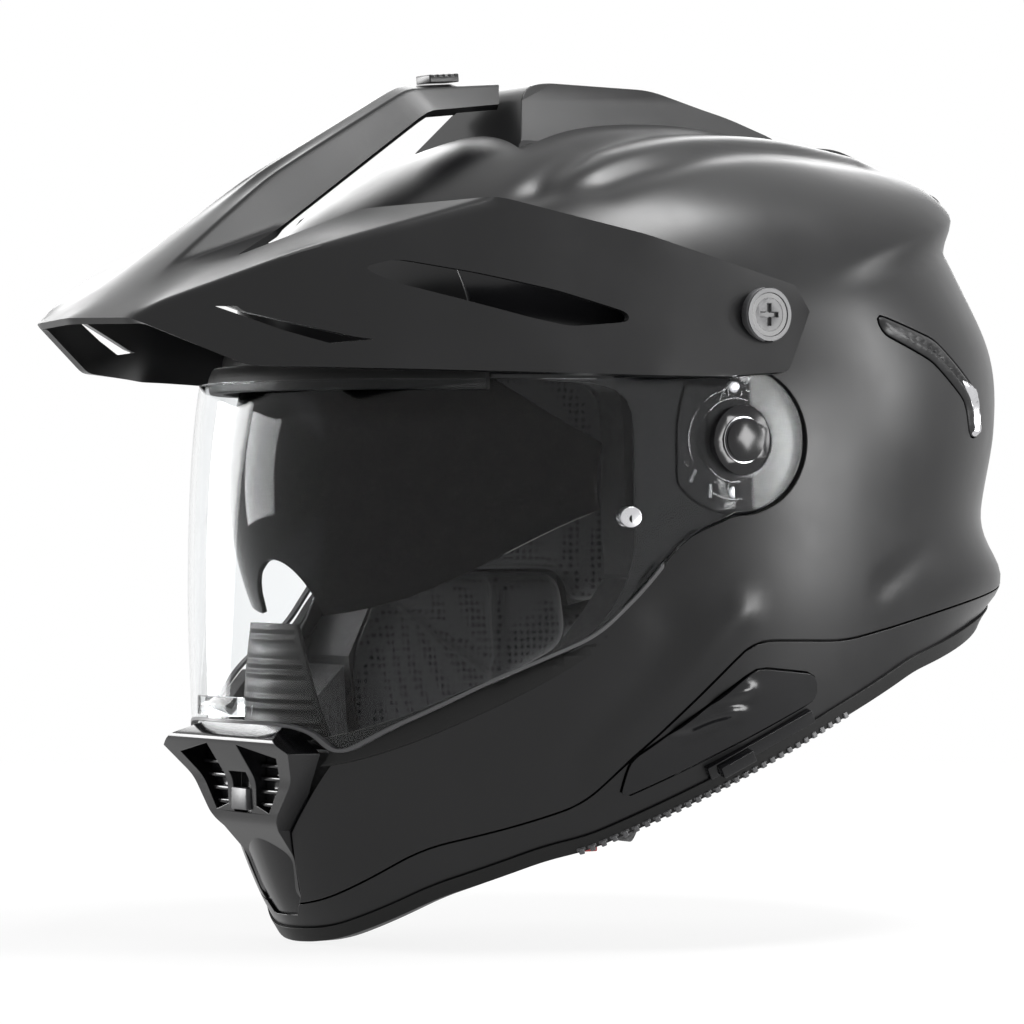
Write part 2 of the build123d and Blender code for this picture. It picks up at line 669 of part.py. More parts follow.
def sun_slot():
    """The room in the foam that the visor and its pins move through."""
    slot = sun_swept(SUN_SLOT_GAP, SUN_LOW_DEG - SUN_SPARE_DEG, SUN_TOP_DEG + SUN_SWING_DEG + SUN_SPARE_DEG)
    x_low = SUN_END - SUN_WALL - SUN_SLOT_GAP
    x_pin = SUN_END + SUN_WALL + SUN_SLOT_GAP
    seat = disc(SUN_ARM_RADIUS + SUN_SLOT_GAP, x_low, x_pin, SUN_PIVOT)
    seat += disc(SUN_PIN_RADIUS + SUN_SLOT_GAP, x_pin, x_pin + SUN_PIN_LENGTH, SUN_PIVOT)
    return [slot] + both_sides(seat)


# Foam and padding


def make_foam(cuts):
    foam = layer("foam_out", "foam_in") & region(FOAM_SHARES)
    for cut in cuts:
        foam -= cut
    return one(foam)


def make_cheek_foam(cuts):
    cheek = layer("foam_out", "foam_in") & side_prism(CHEEK_SHARES, 0, FULL)
    for cut in cuts:
        cheek -= cut
    return both_sides(one(cheek))


def make_chin_foam(cuts):
    chin = layer("foam_out", "foam_in") & region(CHIN_SHARES)
    for cut in cuts:
        chin -= cut
    return one(chin)


def make_crown_pad():
    return one(layer("pad_out", "pad_in") & region(FOAM_SHARES))


def make_cheek_pads():
    return both_sides(one(layer("pad_out", "pad_in") & side_prism(CHEEK_SHARES, 0, FULL)))


def make_neck_roll():
    return one((SHELL["foam_out"] - SHELL["foam_in"]) & region(NECK_SHARES))


def make_breath_guard():
    guard = skin_body(GUARD_INSET) - skin_body(GUARD_INSET + GUARD_WALL)
    return one(guard & side_prism(GUARD_SHARES, -GUARD_HALF_WIDTH, GUARD_HALF_WIDTH))


def make_chin_curtain(vent):
    """A strip of cloth that closes the gap under the chin foam."""
    line = [side_point(*p) for p in CURTAIN_SHARES]
    points = line + [(y, z + CURTAIN_WALL) for y, z in reversed(line)]
    sheet = point_prism(points, -FULL, FULL)
    wall = SHELL_WALL + FIT_GAP
    return one((sheet & (skin_body(wall) - skin_body(wall + CURTAIN_WIDTH))) - vent)


# Peak


def make_peak():
    points, faces = peak_cage()
    peak = thick_sheet(points, faces, PEAK_WALL)
    low, high = wing_face() - PEAK_WALL, wing_face()
    cuts = both_sides(side_prism(SLOT_SHARES, SHELL_HALF_WIDTH / 2, FULL))
    cuts += both_sides(disc(BOSS_RADIUS, 0, FULL, FASTENER))
    for cut in cuts:
        peak -= cut
    boss = disc(BOSS_RADIUS, low, high, FASTENER) - disc(BOLT_RADIUS + SEAM_GAP, 0, FULL, FASTENER)
    for ring in both_sides(boss):
        peak += ring
    return one(peak - skin_body(-FIT_GAP))


def wing_face():
    return skin_x(*FASTENER) + WING_STANDOFF + PEAK_WALL


def make_grommet():
    """The spacer between the shell and the wing."""
    spacer = disc(GROMMET_RADIUS, 0, wing_face() - PEAK_WALL - SEAM_GAP * 2, FASTENER) - skin_body(-FIT_GAP)
    return one(spacer) - disc(BOLT_RADIUS + SEAM_GAP, 0, FULL, FASTENER)


def make_fastener():
    """A quarter turn cap with two finger notches and a cross slot, on its bolt."""
    low = wing_face() + SEAM_GAP
    top = low + FASTENER_HEIGHT
    cap = disc(FASTENER_RADIUS, low, top, FASTENER)
    y, z = FASTENER
    for side in (-1, 1):
        cap -= disc(NOTCH_RADIUS, low, top + END_GAP, (y, z + side * FASTENER_RADIUS))
    cut_x = top - CROSS_DEPTH / 2 + END_GAP / 2
    depth = CROSS_DEPTH + END_GAP
    cap -= Pos(cut_x, y, z) * Box(depth, CROSS_LENGTH, CROSS_WIDTH)
    cap -= Pos(cut_x, y, z) * Box(depth, CROSS_WIDTH, CROSS_LENGTH)
    return cap + disc(BOLT_RADIUS, skin_x(*FASTENER) - BOLT_GRIP, low, FASTENER)


# Vents


def make_chin_vent():
    """The chin vent's housing with an inlet pocket on each side and a groove for the shutter."""
    body = front_block(CHIN_VENT_SIDE_SHARES, CHIN_VENT_FRONT_SHARES)
    for pocket in inlet_pockets(0):
        body -= pocket
    return one(body - shutter_box(SEAM_GAP, SHUTTER_TRAVEL))


def inlet_pockets(shrink):
    """The two side inlets, from the front surface back to one depth."""
    ring = [(x * SHELL_HALF_WIDTH, reach(z, CHIN_DROP, CROWN_HEIGHT)) for x, z in CHIN_INLET_SHARES]
    back = -INLET_DEPTH_SHARE * SHELL_FRONT
    pocket = front_prism(ring, -shrink) & (Pos(0, back - SHELL_FRONT, 0) * Box(
        4 * SHELL_FRONT, 2 * SHELL_FRONT, 4 * SHELL_FRONT))
    return both_sides(pocket)


def make_grille(pocket):
    """Slats across one inlet."""
    box = pocket.bounding_box()
    back = -INLET_DEPTH_SHARE * SHELL_FRONT
    slats = []
    pitch = box.size.Z / SLAT_COUNT
    for i in range(SLAT_COUNT):
        z = box.min.Z + (i + 1 / 2) * pitch
        slats.append(Pos(box.center().X, back, z) * Box(box.size.X, 2 * GRILLE_DEPTH, SLAT_WALL))
    rail = Pos(box.center().X, back - SLAT_WALL / 2, box.center().Z) * Box(
        box.size.X, SLAT_WALL, box.size.Z)
    grille = rail
    for slat in slats:
        grille += slat
    return one(grille & pocket)


def shutter_box(grow, rise):
    face = SHELL_FRONT * CHIN_VENT_SIDE_SHARES[2][0]
    z = reach((CHIN_VENT_SIDE_SHARES[2][1] + CHIN_VENT_SIDE_SHARES[3][1]) / 2, CHIN_DROP, CROWN_HEIGHT)
    depth = SHUTTER_DEPTH + SHUTTER_PROUD + 2 * grow
    height = SHUTTER_HEIGHT + 2 * grow + rise
    centre = Pos(0, face + (SHUTTER_DEPTH - SHUTTER_PROUD) / 2, z + rise / 2)
    return centre * Box(2 * (SHUTTER_HALF_WIDTH + grow), depth, height)


def make_top_vent():
    return one(front_block(TOP_VENT_SIDE_SHARES, TOP_VENT_FRONT_SHARES) - SHELL["skin"])


def make_rear_vent():
    return one(front_block(REAR_VENT_SIDE_SHARES, REAR_VENT_FRONT_SHARES) - SHELL["skin"])


def make_peak_slider():
    """The ridged slider on the rear of the peak's spine."""
    front, rear = (Vector(0, *side_point(*p[1:])) for p in (PEAK_POINT_SHARES[14], PEAK_POINT_SHARES[19]))
    run = (rear - front).normalized()
    place = front + (rear - front) * SLIDER_PLACE_SHARE
    plane = Plane(origin=place, x_dir=run, z_dir=run.cross(Vector(-1, 0, 0)))
    middle = Pos(0, 0, SEAM_GAP + SLIDER_HEIGHT / 2)
    body = middle * Box(SLIDER_LENGTH, 2 * SLIDER_HALF_WIDTH, SLIDER_HEIGHT)
    pitch = SLIDER_LENGTH / SLIDER_RIDGES
    groove = Box(pitch / 2, 3 * SLIDER_HALF_WIDTH, SLIDER_HEIGHT / 2)
    for i in range(SLIDER_RIDGES - 1):
        x = (i + 1) * pitch - SLIDER_LENGTH / 2
        body -= Pos(x, 0, SEAM_GAP + SLIDER_HEIGHT) * groove
    return plane * body


# Straps and small pieces


def rim_frame(y_share, rise, length):
    """A plane on the skirt above the rim, its x axis along the rim to the rear, its origin at y_share."""
    start = reach(y_share, SHELL_FRONT, SHELL_REAR)
    (ya, za), (yb, zb) = (side_point(*RIM_SHARES[i]) for i in (4, 5))
    slope = (zb - za) / (yb - ya)

    def on_skin(y, above):
        z = za + (y - ya) * slope + above
        return Vector(skin_x(y, z), y, z)

    a, b, up = on_skin(start, rise), on_skin(start + length, rise), on_skin(start, rise * 2)
    run = (b - a).normalized()
    out = run.cross(up - a).normalized()
    if out.X < 0:
        out = out * -1
    return Plane(origin=a, x_dir=run, z_dir=out)


def lever_frame():
    rise = RIM_TRIM_RISE + FIT_GAP * 3 + TRACK_HEIGHT / 2
    return rim_frame(LEVER_SHARE, rise, LEVER_TRAVEL)


def make_lever_track():
    """A flat rail above the rim, standing on the skirt."""
    thick = TRACK_THICKNESS + TRACK_SINK
    block = Pos(LEVER_TRAVEL / 2, 0, TRACK_THICKNESS - thick / 2) * Box(TRACK_LENGTH, TRACK_HEIGHT, thick)
    return one(lever_frame() * block - SHELL["skin"])


def make_lever():
    low = TRACK_THICKNESS + FIT_GAP / 2
    block = Box(LEVER_LENGTH, LEVER_HEIGHT, LEVER_THICKNESS)
    return lever_frame() * (Pos(0, 0, low + LEVER_THICKNESS / 2) * block)


def strap_start():
    """Where the strap leaves the skirt: the place along the rim, its height, its slope, its outer face."""
    y = reach(STRAP_SHARE, SHELL_FRONT, SHELL_REAR)
    (ya, za), (yb, zb) = (side_point(*RIM_SHARES[i]) for i in (4, 5))
    slope = (zb - za) / (yb - ya)
    top = za + (y - ya) * slope + RIM_TRIM_RISE + STRAP_WALL + END_GAP
    front = y - STRAP_WIDTH / 2
    return y, top, slope, skin_x(front, top - slope * STRAP_WIDTH / 2) - SHELL_WALL - FIT_GAP * 2


def make_strap():
    """A flat strap from its rivet on the skirt in under the cheek pad."""
    y, top, slope, x_out = strap_start()
    x_in, x_end = x_out - STRAP_WALL, x_out - STRAP_REACH
    points = [
        (x_out, top + STRAP_DROP), (x_in, top + STRAP_DROP), (x_in, top), (x_end, top),
        (x_end, top - STRAP_WALL), (x_out, top - STRAP_WALL),
    ]
    low = STRAP_WIDTH / 2
    face = Face(Wire.make_polygon([Vector(px, y - low, pz - low * slope) for px, pz in points]))
    return Solid.extrude(face, Vector(0, 1, slope).normalized() * STRAP_WIDTH)


def make_rivet():
    y, top, slope, x_out = strap_start()
    x_in = x_out - STRAP_WALL
    return disc(RIVET_RADIUS, x_in - RIVET_HEIGHT, x_in, (y, top + RIVET_RADIUS + END_GAP))


def make_buckle(length):
    """A flat metal fitting under the end of a strap."""
    y, top, slope, x_out = strap_start()
    x_end = x_out - STRAP_REACH
    block = Box(length, STRAP_WIDTH, BUCKLE_WALL)
    tilt = math.degrees(math.atan(slope))
    drop = (STRAP_WALL + BUCKLE_WALL / 2 + FIT_GAP) / math.cos(math.radians(tilt))
    return Pos(x_end + length / 2, y, top - drop) * Rot(tilt, 0, 0) * block


def make_pull_tabs():
    """The tabs that pull the cheek pads out in an emergency."""
    y = reach(TAB_STRAP_SHARE, SHELL_FRONT, SHELL_REAR)
    (ya, za), (yb, zb) = (side_point(*CHEEK_SHARES[i]) for i in (3, 2))
    slope = (zb - za) / (yb - ya)
    z = za + slope * (y - ya) - slope * TAB_STRAP_WIDTH / 2 - FIT_GAP
    x = skin_x(y, z) - SHELL_WALL - FIT_GAP - FOAM_SIDE / 2
    box = Box(TAB_STRAP_WALL, TAB_STRAP_WIDTH, TAB_STRAP_DROP)
    return both_sides(Pos(x, y, z - TAB_STRAP_DROP / 2) * box)


def write(name, shape):
    export_step(shape, f"parts/{name}.step")


def write_pair(name, pair):
    for side, shape in zip(("left", "right"), pair):
        write(f"{name}_{side}", shape)


def main():
    os.makedirs("parts", exist_ok=True)
    chin_cut = front_block(CHIN_VENT_SIDE_SHARES, CHIN_VENT_FRONT_SHARES, SEAM_GAP)
    exhaust_cuts = both_sides(side_prism(EXHAUST_SHARES, 0, FULL, grow=SEAM_GAP))
    pod_cuts = both_sides(side_prism(POD_SHARES, 0, FULL, grow=SEAM_GAP))
    shell = make_shell([chin_cut], exhaust_cuts + pod_cuts)
    write("outer_shell", shell)
    skirt = make_skirt([chin_cut] + pod_cuts)
    write("lower_skirt", skirt)
    write("rim_trim", make_rim_trim())
    write_pair("pod_cover", make_pods())
    write_pair("exhaust_trim", make_exhaust_trims())
    write("eyeport_gasket", make_gasket(shell, chin_cut))

    plates = both_sides(make_base_plate())
    write_pair("shield_base_plate", plates)
    write("base_plate_screws", make_plate_screws())
    write_pair("shield_hub", both_sides(make_hub()))
    write("face_shield", make_shield())
    write("lens_pins", make_lens_pins())
    write("shield_tab", make_shield_tab())

    write("sun_visor", make_sun_visor())
    write("sun_visor_arms", make_sun_arms())
    write("lever_track", make_lever_track())
    write("sun_visor_lever", make_lever())

    foam_cuts = sun_slot() + seat_cuts()
    write("crown_foam", make_foam(foam_cuts))
    write_pair("cheek_foam", make_cheek_foam(foam_cuts))
    write("chin_foam", make_chin_foam([chin_cut]))
    write("crown_pad", make_crown_pad())
    write_pair("cheek_pad", make_cheek_pads())
    write("neck_roll", make_neck_roll())
    write("breath_guard", make_breath_guard())
    write("chin_curtain", make_chin_curtain(chin_cut))

    write("peak", make_peak())
    write_pair("peak_grommet", both_sides(make_grommet()))
    write_pair("peak_fastener", both_sides(make_fastener()))
    write("peak_slider", make_peak_slider())

    write("chin_vent_housing", make_chin_vent())
    write_pair("chin_vent_grille", [make_grille(p) for p in inlet_pockets(SEAM_GAP)])
    write("chin_vent_shutter", shutter_box(0, 0))
    write("top_vent_housing", make_top_vent())
    write("rear_vent_housing", make_rear_vent())

    write_pair("chin_strap", both_sides(make_strap()))
    write_pair("strap_rivet", both_sides(make_rivet()))
    write("strap_buckle", mirror(make_buckle(BUCKLE_LENGTH), about=Plane.YZ))
    write("strap_tongue", make_buckle(TONGUE_LENGTH))
    write_pair("pull_tab", make_pull_tabs())


if __name__ == "__main__":
    main()
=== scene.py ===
import json
import math

import bmesh
import bpy
import numpy as np
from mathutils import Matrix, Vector
from mathutils.bvhtree import BVHTree


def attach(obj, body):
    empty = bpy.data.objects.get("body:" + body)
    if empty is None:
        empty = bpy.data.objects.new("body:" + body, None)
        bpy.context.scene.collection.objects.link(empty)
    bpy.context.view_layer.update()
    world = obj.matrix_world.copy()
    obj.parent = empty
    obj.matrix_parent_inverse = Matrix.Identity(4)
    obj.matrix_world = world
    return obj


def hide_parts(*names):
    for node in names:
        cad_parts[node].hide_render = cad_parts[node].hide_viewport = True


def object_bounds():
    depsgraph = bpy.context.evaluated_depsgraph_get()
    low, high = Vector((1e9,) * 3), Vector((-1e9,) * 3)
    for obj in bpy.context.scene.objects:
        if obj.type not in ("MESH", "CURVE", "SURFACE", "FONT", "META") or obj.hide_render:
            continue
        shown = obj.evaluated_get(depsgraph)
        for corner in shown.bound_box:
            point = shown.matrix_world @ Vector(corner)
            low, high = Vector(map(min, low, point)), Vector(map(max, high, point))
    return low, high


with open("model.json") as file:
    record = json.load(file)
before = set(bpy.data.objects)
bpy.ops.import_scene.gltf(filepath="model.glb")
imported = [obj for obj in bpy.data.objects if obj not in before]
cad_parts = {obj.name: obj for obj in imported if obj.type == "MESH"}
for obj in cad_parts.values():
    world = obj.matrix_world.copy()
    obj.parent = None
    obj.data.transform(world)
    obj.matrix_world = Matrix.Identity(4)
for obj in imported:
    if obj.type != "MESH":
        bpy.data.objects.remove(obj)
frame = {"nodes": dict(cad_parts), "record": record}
cad_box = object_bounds()

# The helmet's sizes in metres, measured from the head centre
HALF_WIDTH, FRONT, REAR, CROWN, DROP = 0.128, 0.16, 0.16, 0.15, 0.166
WIDEST = 0.016  # the cross line where every outline is widest
SHELL_WALL = 0.004
SEAM = 0.0006
PROUD = 0.0012
PAD = (0.0368, 0.0338, 0.0278)  # depth of the pads' outer face at the sides, the ends and the top
PAD_WALL = 0.009
SMALL_BEVEL = 0.0004
SIDES = (("left", 1), ("right", -1))

# Rows of the shell as shares: height, front reach, rear reach, half width, squareness in front and
# behind, and the lean of the surface in degrees. The last row closes the crown.
SHELL_ROWS = (
    (-1.0, 0.78, 0.62, 0.6, 1.8, 2.2, 0),
    (-0.85, 0.87, 0.72, 0.76, 1.8, 2.2, 0),
    (-0.66, 0.945, 0.82, 0.885, 1.8, 2.25, 0),
    (-0.48, 0.99, 0.89, 0.945, 1.85, 2.3, 0),
    (-0.24, 0.985, 0.915, 0.985, 1.85, 2.3, 0),
    (0.0, 0.97, 0.935, 1.0, 1.85, 2.3, 0),
    (0.22, 0.95, 0.985, 1.0, 1.88, 2.3, 5),
    (0.4, 0.915, 0.985, 0.975, 2.0, 2.3, 15),
    (0.57, 0.84, 0.915, 0.91, 2.15, 2.3, 28),
    (0.74, 0.71, 0.84, 0.785, 2.2, 2.3, 42),
    (0.87, 0.53, 0.75, 0.6, 2.1, 2.2, 57),
    (0.955, 0.33, 0.6, 0.385, 2.1, 2.1, 72),
    (1.0, 0.14, 0.4, 0.17, 2.0, 2.0, 86),
    (1.012, -0.085, 0.115, 0.012, 2.0, 2.0, 90),
)
# Rows of the face shield: height, front reach, half width, squareness
SHIELD_ROWS = (
    (-0.68, 0.975, 0.96, 1.95), (-0.45, 0.98, 0.985, 1.95), (-0.2, 0.975, 0.998, 2.05),
    (0.05, 0.963, 1.0, 2.1), (0.25, 0.94, 1.0, 2.15), (0.45, 0.9, 0.995, 2.2),
)
SHIELD_WALL = 0.0022
SHIELD_AHEAD = 0.0058  # its outer face runs this far ahead of its row of shares
SHIELD_SIDE = 0.0005

# Side view outlines, as shares
PORT = (
    (-1.35, 0.335), (-0.6, 0.335), (-0.352, 0.315), (-0.345, -0.12), (-0.43, -0.265),
    (-0.62, -0.375), (-0.81, -0.475), (-0.93, -0.525), (-1.35, -0.56),
)
RIM = (
    (-1.3, -0.965), (-0.8, -0.935), (-0.66, -0.825), (-0.475, -0.74), (-0.385, -0.715),
    (0.181, -0.435), (0.4, -0.335), (1.2, -0.13), (1.2, -1.4), (-1.3, -1.4),
)
SKIRT_TOP = (
    (-1.3, -0.885), (-0.855, -0.87), (-0.71, -0.727), (-0.545, -0.675), (-0.42, -0.628),
    (-0.35, -0.545), (-0.067, -0.272), (0.18, -0.276), (1.2, -0.08), (1.2, -1.4), (-1.3, -1.4),
)
POD = ((-0.345, -0.618), (-0.335, -0.535), (-0.055, -0.335), (0.1, -0.35), (0.11, -0.403))
LENS = (
    (-1.4, 0.33), (-0.42, 0.325), (-0.24, 0.345), (-0.13, 0.32), (-0.05, 0.1), (-0.11, 0.012),
    (-0.24, -0.04), (-0.335, -0.157), (-0.44, -0.262), (-0.645, -0.357), (-0.83, -0.467),
    (-0.906, -0.53), (-0.95, -0.46), (-1.4, -0.445),
)
EXHAUST = (
    (0.3, 0.495), (0.49, 0.435), (0.645, 0.315), (0.665, 0.2), (0.62, 0.195), (0.6, 0.285),
    (0.47, 0.385), (0.31, 0.45),
)
FOAM_EDGE = (
    (-1.4, 0.38), (-0.4, 0.365), (-0.3, 0.3), (-0.29, -0.13), (0.28, -0.13), (0.3, -0.22),
    (1.3, 0.04), (1.3, 1.4), (-1.4, 1.4),
)
CHEEK = (
    (-0.29, -0.14), (0.27, -0.14), (0.285, -0.31), (-0.4, -0.615), (-0.42, -0.33), (-0.35, -0.24),
)
NECK = ((0.315, -0.226), (1.3, 0.033), (1.3, -0.075), (0.315, -0.332))
GUARD = ((-1.2, -0.24), (-0.6, -0.24), (-0.6, -0.516), (-1.2, -0.516))
CURTAIN = ((-0.86, -0.895), (-0.66, -0.775), (-0.44, -0.69))
VENT_SIDE = (
    (-0.935, -0.452), (-1.025, -0.492), (-0.962, -0.585), (-0.958, -0.67), (-0.885, -0.755),
    (-0.858, -0.838), (-0.82, -0.885), (-0.79, -0.86), (-0.905, -0.6),
)
VENT_FRONT = ((0.203, -0.452), (0.36, -0.518), (0.156, -0.695), (0.109, -0.838), (0.06, -0.885))
INLET = ((0.085, -0.505), (0.275, -0.53), (0.15, -0.655), (0.08, -0.64))
SHUTTER_CHANNEL, SHUTTER_BACK = (0.0062, -0.1092, -0.0942), -0.1503  # metres
TOP_SIDE = (
    (-0.375, 0.88), (-0.262, 1.075), (-0.2, 1.09), (0.1, 1.085), (0.3, 1.02),
    (0.42, 0.96), (0.1, 0.88),
)
TOP_FRONT = ((0.3, 0.86), (0.29, 0.93), (0.17, 1.04), (0.125, 1.11))
REAR_SIDE = (
    (0.36, 0.955), (0.6, 0.95), (0.881, 0.826), (0.862, 0.77), (0.81, 0.68), (0.56, 0.7),
)
REAR_FRONT = ((0.33, 0.64), (0.33, 0.78), (0.23, 0.96))
SLOT = (
    (-0.96, 0.585), (-0.89, 0.605), (-0.725, 0.573), (-0.556, 0.533), (-0.4, 0.483),
    (-0.4, 0.46), (-0.54, 0.447), (-0.625, 0.467), (-0.9, 0.55),
)
GROOVE = (
    (-1.228, 0.494), (-1.188, 0.493), (-1.175, 0.48), (-0.979, 0.42), (-0.945, 0.414), (-1.025, 0.405),
    (-1.106, 0.436),
)
EXHAUST_STRIP = (
    (0.575, 0.345), (0.7, 0.3), (0.72, 0.195), (0.6, 0.18), (0.628, 0.205), (0.635, 0.26),
)
POD_WAVES = (
    ((-0.225, -0.385), (-0.15, -0.398), (-0.085, -0.385)),
    ((-0.3, -0.452), (-0.225, -0.462), (-0.15, -0.432), (-0.11, -0.425)),
)
# Soft lines on the shell: places in millimetres on the wearer's left, then how far out and how wide
SWOOPS = (
    (
        ((68.5, -72.8, 116), (53, -36.5, 136), (42.5, 2.4, 145), (34, 42, 147), (30, 76, 143),
         (26, 115, 130)),
        -2.0, 6.5,
    ),
    (
        ((70.5, -66.3, 118), (77, -46, 121), (75, -20, 129), (64, 22, 137), (58, 52, 137), (50, 90, 130)),
        -1.8, 7.0,
    ),
    (((72, -56, 120), (66, -30, 129), (58, 10, 139), (50, 50, 141), (42, 92, 135)), 1.4, 7.0),
    (((98, -69, -94), (104, -66, -80), (108, -57, -68), (113, -47, -55), (117, -42, -41)), -1.8, 9.0),
    (((102, -64, -88), (108, -55, -77), (114, -42, -63), (119, -30, -49), (123, -17, -36)), 1.6, 6.0),
    (((60, -127, -62), (84, -105, -66), (100, -80, -52), (110, -62, -38)), 1.6, 12.0),
    (((125, 47, -26), (126, 85, -5), (112, 112, 12), (98, 125, 30)), -1.2, 4.0),
)
# The lip over the shell's rear and the flare under it, in millimetres
LIP_START, LIP_SLOPE, LIP_LIFT, LIP_REACH = (22.0, 84.5), 0.215, 10.5, 110.0
LIP_RISE, LIP_FADE = (-4.5, 5.0), (7.0, 48.0)  # heights from the lip's line
FLARE_LIFT, FLARE_REACH = 10.0, (55.0, 140.0)
FLARE_TOP, FLARE_FOOT = (8.0, -24.0), (-26.0, -52.0)
PIVOT_SHARE = (-0.1106, 0.1813)
SUN_PIVOT_SHARE = (-0.125, 0.08)
FASTENER_SHARE = (-0.05, 0.484)
PIN_SHARE = (-0.375, -0.004)
ARM_RADIUS = 0.026
HUB_RADIUS = 0.0126
PIN_RADIUS = 0.0038
LENS_CORNER = 0.008
OPEN_STEPS_DEG = (0, 7, 14, 21, 28, 34)
SWING_GAP, SWING_FRONT = 0.0012, -0.105
SUN_RADIUS, SUN_HALF, SUN_END, SUN_WALL = 0.124, 0.1, 0.097, 0.002
SUN_LOW, SUN_HIGH, SUN_SQUARENESS = -24.0, 30.0, 2.2
NOSE_RADIUS = 0.022
VENT_BACK, INLET_BACK = -0.6 * FRONT, -0.925 * FRONT

# The peak's cage: half width, front reach, height
PEAK_POINTS = (
    (0.0, -1.412, 0.473), (0.281, -1.375, 0.467), (0.32, -1.331, 0.5),
    (0.0, -1.219, 0.603), (0.133, -1.213, 0.597), (0.281, -1.106, 0.62), (0.586, -1.081, 0.624),
    (0.484, -1.169, 0.353),
    (0.0, -0.923, 0.84), (0.07, -0.923, 0.83), (0.172, -0.938, 0.7), (0.469, -0.875, 0.733),
    (0.7, -0.875, 0.69), (0.76, -0.906, 0.345),
    (0.0, -0.543, 1.072), (0.063, -0.543, 1.062), (0.13, -0.52, 1.005), (0.79, -0.669, 0.757),
    (0.945, -0.575, 0.337),
    (0.0, -0.29, 1.095), (0.063, -0.29, 1.085), (0.13, -0.325, 1.03), (0.905, -0.325, 0.672),
    (1.0, -0.356, 0.333),
    (1.01, -0.18, 0.333),
)
TAIL = ((0.05, 0.56), (0.075, 0.495), (-0.005, 0.347))
TAIL_LIFT = 0.0056
PEAK_FACES = (
    (0, 1, 4, 3), (1, 2, 5, 4), (2, 6, 5), (1, 7, 2), (2, 7, 6), (3, 4, 9, 8), (4, 5, 10), (4, 10, 9),
    (8, 9, 15, 14), (9, 10, 16, 15), (14, 15, 20, 19), (15, 16, 21, 20), (5, 6, 12, 11), (11, 12, 17),
    (6, 7, 13, 12), (12, 13, 18, 17), (17, 18, 23, 22), (22, 23, 24, 27), (22, 27, 26, 25),
)
PEAK_WALL = 0.0026
SHARP_ANGLE = math.radians(14)
FOLD_CREASE, EDGE_PIN, CORNER_PIN = 0.82, 0.75, 0.6

# Camera: its turn from the front towards the wearer's left, and where its axis passes the head centre
CAMERA_TURN = math.radians(57)
CAMERA_AWAY = 1.9
CAMERA_ASIDE, CAMERA_UP = -0.0296, 0.00115
CAMERA_WIDTH = 1024 / 2.6 * 0.001  # width of the picture at the head centre
SENSOR = 36.0
WHITE = (1, 1, 1, 1)
WORLD_LIGHT = 0.2
FLOOR_SIZE, FLOOR_GAP = 30.0, 0.0002
FLOOR_FADE = (0.86, 1.0, 0.35, 1.3)  # share near the helmet and far off, and where those two begin

# Mesh work: halvings of a cut edge, the share of an edge that snaps to its corner, and joining
HALVINGS, SNAP = 14, 0.22
JOIN_DISTANCE, FLAT_DEG = 2e-6, 1.5


# Materials


def add(tree, kind, *sockets, **values):
    """A new node with its first sockets linked, and other sockets and settings filled in by name."""
    node = tree.nodes.new("ShaderNode" + kind)
    for key, value in values.items():
        if key in node.inputs:
            node.inputs[key].default_value = value
        else:
            setattr(node, key, value)
    for socket, target in zip(sockets, node.inputs):
        tree.links.new(socket, target)
    return node


def set_inputs(shader, **values):
    for key, value in values.items():
        shader.inputs[key.replace("_", " ")].default_value = value


def ranged(tree, socket, low, high, start=0.0, end=1.0):
    limits = {"From Min": start, "From Max": end, "To Min": low, "To Max": high}
    return add(tree, "MapRange", socket, **limits).outputs["Result"]


def tint(tree, shader, share, first, second):
    """Colours a surface between two colours by a share."""
    mix = add(tree, "Mix", share, data_type="RGBA")
    mix.inputs[6].default_value = (*first, 1)
    mix.inputs[7].default_value = (*second, 1)
    tree.links.new(mix.outputs[2], shader.inputs["Base Color"])


def roughen(tree, shader, share, *limits):
    tree.links.new(ranged(tree, share, *limits), shader.inputs["Roughness"])


def bumped(tree, shader, height, strength, distance, before=None):
    bump = add(tree, "Bump", Strength=strength, Distance=distance)
    tree.links.new(height, bump.inputs["Height"])
    if before is not None:
        tree.links.new(before, bump.inputs["Normal"])
    tree.links.new(bump.outputs["Normal"], shader.inputs["Normal"])
    return bump.outputs["Normal"]


def moulded(tree, shader, place, dark, light, rough, grain_scale, grain, specular=0.5, metallic=0.0):
    """A moulded or lacquered surface: cloudy colour, uneven sheen and a fine grain."""
    cloud = add(tree, "TexNoise", place, Scale=28.0, Detail=6.0, Roughness=0.6).outputs["Fac"]
    fine = add(tree, "TexNoise", place, Scale=grain_scale, Detail=3.0).outputs["Fac"]
    tint(tree, shader, cloud, dark, light)
    roughen(tree, shader, cloud, *rough, 0.3, 0.7)
    bumped(tree, shader, fine, grain, 0.0004)
    set_inputs(shader, Specular_IOR_Level=specular, Metallic=metallic)


def clear_plastic(tree, shader, place, colour, rough, ior):
    smear = add(tree, "TexNoise", place, Scale=14.0, Detail=4.0).outputs["Fac"]
    roughen(tree, shader, smear, *rough, 0.35, 0.7)
    set_inputs(shader, Base_Color=(*colour, 1), Transmission_Weight=1.0, IOR=ior)


def beaded_foam(tree, shader, place):
    beads = add(tree, "TexVoronoi", place, Scale=420.0).outputs["Distance"]
    tint(tree, shader, beads, (0.02, 0.02, 0.021), (0.008, 0.008, 0.009))
    roughen(tree, shader, beads, 0.62, 0.85)
    bumped(tree, shader, beads, -0.5, 0.0006)


